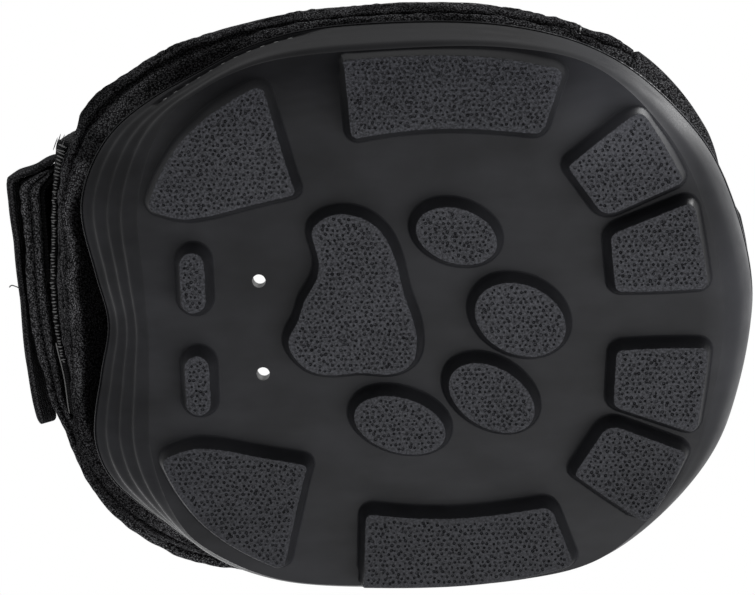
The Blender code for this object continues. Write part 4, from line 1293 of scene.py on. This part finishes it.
def tongue(mesh):
    """Padded tongue, sewn in at its foot, standing up above the vamp."""
    def face(w, v):
        free = smoothstep(0.56, 0.66, v)
        quilt = channel(np.abs(w), 0.085, 0.006) + channel(v, 0.98, 0.014)
        return (free * (0.9 - 1.6 * quilt + 0.18 * lumps(w, v, 6.0, 31)) - 0.15) * MM

    def back(w, v):
        return (0.8 * channel(np.abs(w), 0.085, 0.006) + 0.15 * lumps(w, v, 7.0, 32)) * MM

    piece = panel("padded_tongue", (0.08, 1.32), (-0.19, 0.19), depths(*TONGUE), (110, 80, 50), relief=face,
                  inner_relief=back, taper=round_tip(17.0 * MM, 0.55), upright=True)
    settled(piece, mesh, None, "mesh", "tongue", "tongue_foot")
    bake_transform(piece)


FLAP = (0.46, 0.97)
FLAP_MIDDLE = (FLAP[0] + FLAP[1]) / 2.0


def over_layer(w):
    """The upper flap climbs over the tapes to its closed place."""
    run = (-0.272, -0.130, -0.060, 0.180)
    low = np.interp(w, run, (UNDER_FLAP[0], UNDER_FLAP[0], OVER_FLAP[0], OVER_FLAP[0]))
    share = np.interp(w, (-0.298, -0.262, -0.235), (0.5, 0.6, 1.0))
    return low, low + (OVER_FLAP[1] - OVER_FLAP[0]) * share


def flap_relief(w, v):
    """A bound edge: a low ridge at the border and a sunk line of stitching beside it."""
    edge = np.abs(v - FLAP_MIDDLE) / ((FLAP[1] - FLAP[0]) / 2.0)
    return (0.06 * lumps(w, v, 9.0, 41) - 0.42 * channel(edge, 0.80, 0.022) - 0.05) * MM


def flaps(woven, loop, hook, webbing):
    piece = panel("shown_under_flap", (0.298, -0.030), FLAP, depths(*UNDER_FLAP), (110, 44, 16),
                  relief=flap_relief, taper=round_tip(12.0 * MM, 0.55))
    settled(piece, woven, None, "woven", "under_flap")
    wall_point(0.290, 0.7, 1.5 * MM)
    wall_point(0.266, 0.7, 1.5 * MM)
    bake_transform(piece)
    piece = panel("shown_over_flap", (-0.298, 0.180), FLAP, over_layer, (150, 44, 16), relief=flap_relief,
                  taper=round_tip(12.0 * MM, 0.55))
    settled(piece, woven, None, "woven", "over_flap")
    wall_point(-0.290, 0.7, 1.5 * MM)
    wall_point(-0.266, 0.7, 1.5 * MM)
    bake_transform(piece)
    half = (FLAP[1] - FLAP[0]) * 0.4
    rows = (FLAP_MIDDLE - half, FLAP_MIDDLE + half)
    piece = panel("shown_flap_loop_tape", (0.166, -0.016), rows, depths(*FLAP_LOOP), (70, 30, 12),
                  relief=lambda w, v: 0.08 * MM * lumps(w, v, 1.6, 42), taper=round_tip(8.0 * MM, 0.7))
    settled(piece, loop, "under_flap_body", "loop_tape", "flap_loop_tape")
    piece = panel("shown_flap_hook_tape", (-0.016, 0.166), rows, depths(*FLAP_HOOK), (70, 16, 30),
                  taper=round_tip(8.0 * MM, 0.7))
    settled(piece, hook, "over_flap_body", "hook_tape", "flap_hook_tape")
    rows = (FLAP_MIDDLE - half / 2.0, FLAP_MIDDLE + half / 2.0)
    piece = panel("shown_flap_pull_tab", (0.1812, 0.2118), rows, depths(5.9 * MM, 7.7 * MM), (24, 24, 14),
                  taper=round_tip(4.0 * MM, 0.8))
    settled(piece, webbing, "over_flap_body", "webbing", "flap_pull_tab")


STRAP_ROWS = (0.42, 0.88)
STRAP_MIDDLE = (STRAP_ROWS[0] + STRAP_ROWS[1]) / 2.0
STRAP_TIP = 1.133
TAPE_ENDS = (0.882, 1.164)


# The strap: place, millimetres from the upper to its face, and its thickness there
STRAP_PATH = np.array((
    (0.610, 5.5, 5.0), (0.700, 7.2, 5.0), (0.724, 7.5, 5.0), (0.743, 6.5, 4.9), (0.762, 5.8, 4.8),
    (0.780, 5.5, 4.6), (0.803, 4.3, 4.2), (0.823, 3.3, 3.9), (0.842, 2.6, 3.7), (0.872, 2.2, 3.6),
    (0.883, 3.0, 3.7), (0.904, 4.7, 4.3), (0.949, 6.6, 4.9), (0.978, 7.6, 5.0), (1.006, 8.4, 5.0),
    (1.106, 8.7, 4.7), (1.1145, 9.9, 5.2), (1.121, 8.7, 4.6), (1.128, 4.9, 2.9), (1.136, 3.2, 1.6),
))


def strap_layer(w):
    """The strap rises from its sewn root, dips behind the quarter and runs over the heel's tapes."""
    taps = np.linspace(-0.006, 0.006, 5)
    face, thick = (
        sum(np.interp(w + tap, STRAP_PATH[:, 0], column) for tap in taps) / len(taps)
        for column in STRAP_PATH.T[1:]
    )
    return (face - thick) * MM, face * MM


def tucked_end(w, v):
    """Where the strap's tip bunches up inside the turn of the pull loop."""
    return smoothstep(1.055, 1.09, w) * (1.0 - smoothstep(1.116, 1.124, w)) * smoothstep(0.53, 0.61, v)


def strap_relief(w, v):
    """Padded cloth with a sewn line along its middle."""
    rough = 0.24 * lumps(w, v, 7.0, 51) + 0.22 * lumps(w, v, 2.6, 52) - 0.15
    return (rough - 1.3 * channel(v, STRAP_MIDDLE, 0.020) + 1.9 * tucked_end(w, v)) * MM


def loop_layer(w):
    """The pull loop lies flat on the strap, stands off, and turns sharply in round the strap's end."""
    face = STRAP[1] + CLEARANCE
    path = ((0.868, -0.9), (0.893, -0.5), (0.946, 0.5), (1.003, 0.7), (1.022, 1.1), (1.060, 1.8),
            (1.101, 2.8), (1.116, 3.7), (1.127, -3.2), (1.142, -7.6))
    places, lifts = np.array(path).T
    taps = np.linspace(-0.0025, 0.0025, 5)
    low = face + MM * sum(np.interp(w + tap, places, lifts) for tap in taps) / len(taps)
    steep = 1.0 + 0.8 * smoothstep(1.114, 1.120, w)
    return low, low + WEBBING * steep


def loop_tilt(w, v):
    """The loop's upper edge leans in towards the strap."""
    lean = 1.6 * smoothstep(1.02, 1.08, w) * (1.0 - smoothstep(1.112, 1.122, w))
    lean = lean + 0.9 * (1.0 - smoothstep(0.90, 0.95, w))
    return -lean * MM * (v - STRAP_MIDDLE + 0.13) / 0.26


def loop_skew(w, v):
    """The loop's cut end slants: its upper edge reaches further."""
    return -0.009 * (v - STRAP_MIDDLE + 0.13) / 0.26 * (1.0 - smoothstep(0.885, 0.92, w))


def tape_layer(w):
    """Loop tape behind the heel, folded over and over at its free right end."""
    seat = HEEL_TAPE[0] - drawn_in(w)
    folded = np.interp(w, (1.120, 1.141, 1.153, 1.160), (0.0, 0.85, 1.7, 2.1)) * MM
    return seat, seat + (HEEL_TAPE[1] - HEEL_TAPE[0]) + folded


def hook_layer(w):
    low, _ = strap_layer(w)
    return low - 1.5 * MM, low - 0.3 * MM


def heel_strap(mesh, hook, loop, webbing, fringe):
    piece = panel("padded_heel_strap", (0.610, STRAP_TIP), STRAP_ROWS, strap_layer, (190, 60, 30),
                  relief=strap_relief, taper=round_tip(5.0 * MM, 0.72, both=True),
                  inner_relief=lambda w, v: -0.4 * strap_relief(w, v) + 0.8 * MM * tucked_end(w, v),
                  shadow=lambda w, v: 0.55 * tucked_end(w, v), rolls=2)
    settled(piece, mesh, None, "mesh", "heel_strap", "strap_anchor")
    wall_point(0.822, 0.65, 5.0 * MM)
    wall_point(0.850, 0.65, 6.0 * MM)
    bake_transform(piece)
    piece = panel("shown_heel_loop_tape", TAPE_ENDS, STRAP_ROWS, tape_layer, (150, 56, 16),
                  relief=lambda w, v: 0.12 * MM * lumps(w, v, 1.5, 53))
    settled(piece, loop, "root", "loop_tape", "heel_loop_tape")
    rows = (STRAP_MIDDLE - 0.184, STRAP_MIDDLE + 0.184)
    piece = panel("shown_strap_hook_tape", (1.020, STRAP_TIP - 0.002), rows, hook_layer, (40, 20, 40))
    settled(piece, hook, "heel_strap_body", "hook_tape", "strap_hook_tape")
    rows = (STRAP_MIDDLE - 0.1325, STRAP_MIDDLE + 0.1325)
    piece = panel("webbing_pull_loop", (0.879, 1.141), rows, loop_layer, (220, 28, 28), relief=loop_tilt,
                  inner_relief=loop_tilt, skew=loop_skew)
    settled(piece, webbing, "heel_strap_body", "webbing", "pull_loop")
    ladder = []
    chance = random.Random(15)
    for w in np.arange(0.945, TAPE_ENDS[1] - 0.004, 0.0031):
        low, high = tape_layer(w)
        low = low + chance.uniform(-0.3, 0.3) * MM
        high = high + chance.uniform(-0.5, 0.25) * MM
        turned = w + np.array((0.0, chance.uniform(-0.0012, 0.0012)))
        ladder.append(wall_point(turned, STRAP_ROWS[0] - 0.002, np.array((low, high))))
    stitches("tape_fringe", ladder, 5.0 * MM, 0.23 * MM, "root", fringe, "loop_tape")
    w = np.linspace(TAPE_ENDS[0] + 0.004, 0.965, 60)
    edge = cord_along("tape_edge", w, STRAP_ROWS[0] - 0.002, tape_layer(w)[1], 0.20 * MM, fringe)
    settled(edge, fringe, "root", "loop_tape")
    frayed = []
    for k in range(16):
        v = STRAP_ROWS[0] + 0.004 + 0.012 * k
        depth = chance.uniform(-0.4, 3.2) * MM
        ends = TAPE_ENDS[1] + np.array((-0.014, chance.uniform(-0.003, 0.004)))
        frayed.append(wall_point(ends, v, np.array((depth, depth + chance.uniform(-0.5, 0.5) * MM))))
    stitches("frayed_threads", frayed, 9.0 * MM, 0.15 * MM, "root", fringe, "loop_tape")


def loose_thread(thread):
    """A curled end of sewing thread that hangs out behind the pull loop."""
    t = np.linspace(0.0, 1.0, 26)
    line = wall_point(1.014 + 0.003 * np.sin(t * 3.0), 0.52 - 0.01 * t, (11.2 + 2.7 * t) * MM)
    line[:, 1] += 0.5 * MM * np.sin(t * 5.5) * t
    piece = tube("loose_thread", line, 0.17 * MM, thread)
    settled(piece, thread, "heel_strap_body", "webbing")


def badge(leather):
    def face(w, v):
        side = np.maximum(np.abs(w) / 0.112, np.abs(v - 0.26) / 0.17)
        return -MM * (0.22 * channel(side, 0.87, 0.02) + 0.45 * smoothstep(0.04, 0.10, np.abs(w)))

    piece = panel("leather_badge", (-0.112, 0.112), (0.09, 0.43), depths(0.1 * MM, 1.05 * MM), (90, 40, 16),
                  relief=face, taper=round_tip(5.0 * MM, 0.6, both=True))
    settled(piece, leather, "root", "leather", "toe_badge")


def stitches(name, lines, pitch, radius, body, finish, slot):
    """Short capsules end to end along lines of points, one joined mesh."""
    bpy.ops.mesh.primitive_uv_sphere_add(segments=8, ring_count=5, radius=1.0)
    seed = bpy.context.active_object
    corners = np.array([tuple(v.co) for v in seed.data.vertices])
    faces = [tuple(face.vertices) for face in seed.data.polygons]
    bpy.data.objects.remove(seed)
    points = []
    made = []
    for line in lines:
        run = np.concatenate(([0.0], np.cumsum(np.linalg.norm(np.diff(line, axis=0), axis=1))))
        count = max(1, int(run[-1] / pitch))
        for k in range(count):
            ends = [
                Vector([np.interp((k + t) * run[-1] / count, run, line[:, axis]) for axis in range(3)])
                for t in (0.14, 0.86)
            ]
            along = ends[1] - ends[0]
            turn = along.to_track_quat("Z", "Y").to_matrix()
            size = np.array((radius, radius, along.length / 2.0 + radius * 0.3))
            placed = (corners * size) @ np.array(turn).T + np.array((ends[0] + ends[1]) / 2.0)
            first = len(points)
            points.extend(map(tuple, placed))
            made.extend(tuple(first + k for k in face) for face in faces)
    mesh = bpy.data.meshes.new(name)
    mesh.from_pydata(points, [], made)
    mesh.shade_smooth()
    piece = bpy.data.objects.new(name, mesh)
    bpy.context.scene.collection.objects.link(piece)
    return settled(piece, finish, body, slot)


def line_on(w, v, depth, count=120):
    """A line on the upper between places given as pairs of w and v, or as equal values."""
    t = np.linspace(0.0, 1.0, count)
    w = np.interp(t, np.linspace(0.0, 1.0, np.size(w)), np.atleast_1d(w))
    v = np.interp(t, np.linspace(0.0, 1.0, np.size(v)), np.atleast_1d(v))
    depth = depth(w) if callable(depth) else depth
    return wall_point(w, v, depth)


def seams(thread, pale):
    pitch = 3.2 * MM
    side_lines = []
    for side in (1.0, -1.0):
        for run in (0.594, 0.606):
            side_lines.append(line_on(side * run, (0.43, 0.90), lambda w: -0.05 * MM - drawn_in(w)))
        side_lines.append(line_on(side * 0.318, (0.02, 0.92), -0.05 * MM))
        for v in (0.435, 0.955):
            seat = lambda w, v=v: -0.10 * MM - drawn_in(w, v)
            side_lines.append(line_on((side * 0.325, side * 0.83), v, seat, 300))
    side_lines.append(line_on((0.85, 1.15), 0.955, lambda w: -0.10 * MM - drawn_in(w, 0.955), 200))
    side_lines.append(line_on((-0.25, 0.25), 0.475, -0.25 * MM, 260))
    stitches("panel_stitches", side_lines, pitch, 0.28 * MM, "root", thread, "woven")
    top = FLAP_MIDDLE + 0.8 * (FLAP[1] - FLAP[0]) / 2.0
    low = FLAP_MIDDLE - 0.8 * (FLAP[1] - FLAP[0]) / 2.0
    over = [line_on((-0.262, 0.150), v, lambda w: over_layer(w)[1] - 0.15 * MM, 300) for v in (low, top)]
    over.append(line_on(0.160, (low + 0.05, top - 0.05), lambda w: over_layer(w)[1] + 0.02 * MM))
    stitches("over_flap_stitches", over, pitch, 0.27 * MM, "over_flap_body", thread, "woven")
    under = [line_on((0.262, 0.0), v, UNDER_FLAP[1] - 0.15 * MM, 260) for v in (low, top)]
    stitches("under_flap_stitches", under, pitch, 0.27 * MM, "under_flap_body", thread, "woven")
    roots = []
    for side in (1.0, -1.0):
        seat = UNDER_FLAP[1] if side > 0.0 else over_layer(-0.2925)[1]
        roots.append(line_on(side * 0.2925, (low, top), seat + 0.02 * MM))
    roots.append(line_on((0.615, 0.80), STRAP_MIDDLE, lambda w: strap_layer(w)[1] - 1.35 * MM, 200))
    stitches("root_stitches", roots, pitch, 0.28 * MM, "root", thread, "woven")
    strap = [line_on((0.865, 1.128), STRAP_MIDDLE, lambda w: strap_layer(w)[1] - 1.35 * MM, 200)]
    stitches("strap_stitches", strap, pitch, 0.28 * MM, "heel_strap_body", thread, "woven")
    frame_w = np.array((-0.098, 0.098, 0.098, -0.098, -0.098))
    frame_v = np.array((0.115, 0.115, 0.405, 0.405, 0.115))
    seat = lambda w: (0.90 - 0.45 * smoothstep(0.04, 0.10, np.abs(w))) * MM
    stitches("badge_stitches", [line_on(frame_w, frame_v, seat, 400)], 2.6 * MM, 0.22 * MM, "root", pale,
             "leather")
    w = np.linspace(1.252, 1.420, 120)
    line = shift(shell_point(w, np.interp(w, *BAND.T)), w, -0.60 * MM + 0.0 * w, RIM_CURVE)
    chance = random.Random(5)
    specks = []
    for k in range(3, 112, 10):
        specks.append(line[k:k + 6] + np.array((0.0, 0.0, chance.uniform(-0.25, 0.25) * MM)))
    stitches("rim_stitches", specks, 9.0 * MM, 0.26 * MM, "root", RIM_THREAD, "rubber")


RUBBER = rubber_finish()
MESH = mesh_finish("black_mesh")
VAMP_MESH = mesh_finish("vamp_mesh")
WOVEN = woven_finish("black_woven", 0.7, 0.008, 0.014)
LINING_CLOTH = lining_finish()
HOOK = hook_finish()
LOOP = loop_finish()
WEBBING_CLOTH = webbing_finish()
LEATHER = leather_finish()
THREAD = thread_finish("black_thread", 0.035)
PALE_THREAD = thread_finish("brown_thread", 0.16)
FRINGE = thread_finish("tape_fringe_thread", 0.125)
RIM_THREAD = thread_finish("rim_thread", 0.10)

stage()
outsole(RUBBER)
uppers(MESH, VAMP_MESH)
linings(LINING_CLOTH)
collars(MESH, WEBBING_CLOTH)
tongue(MESH)
flaps(WOVEN, LOOP, HOOK, WEBBING_CLOTH)
heel_strap(MESH, HOOK, LOOP, WEBBING_CLOTH, FRINGE)
loose_thread(THREAD)
badge(LEATHER)
seams(THREAD, PALE_THREAD)
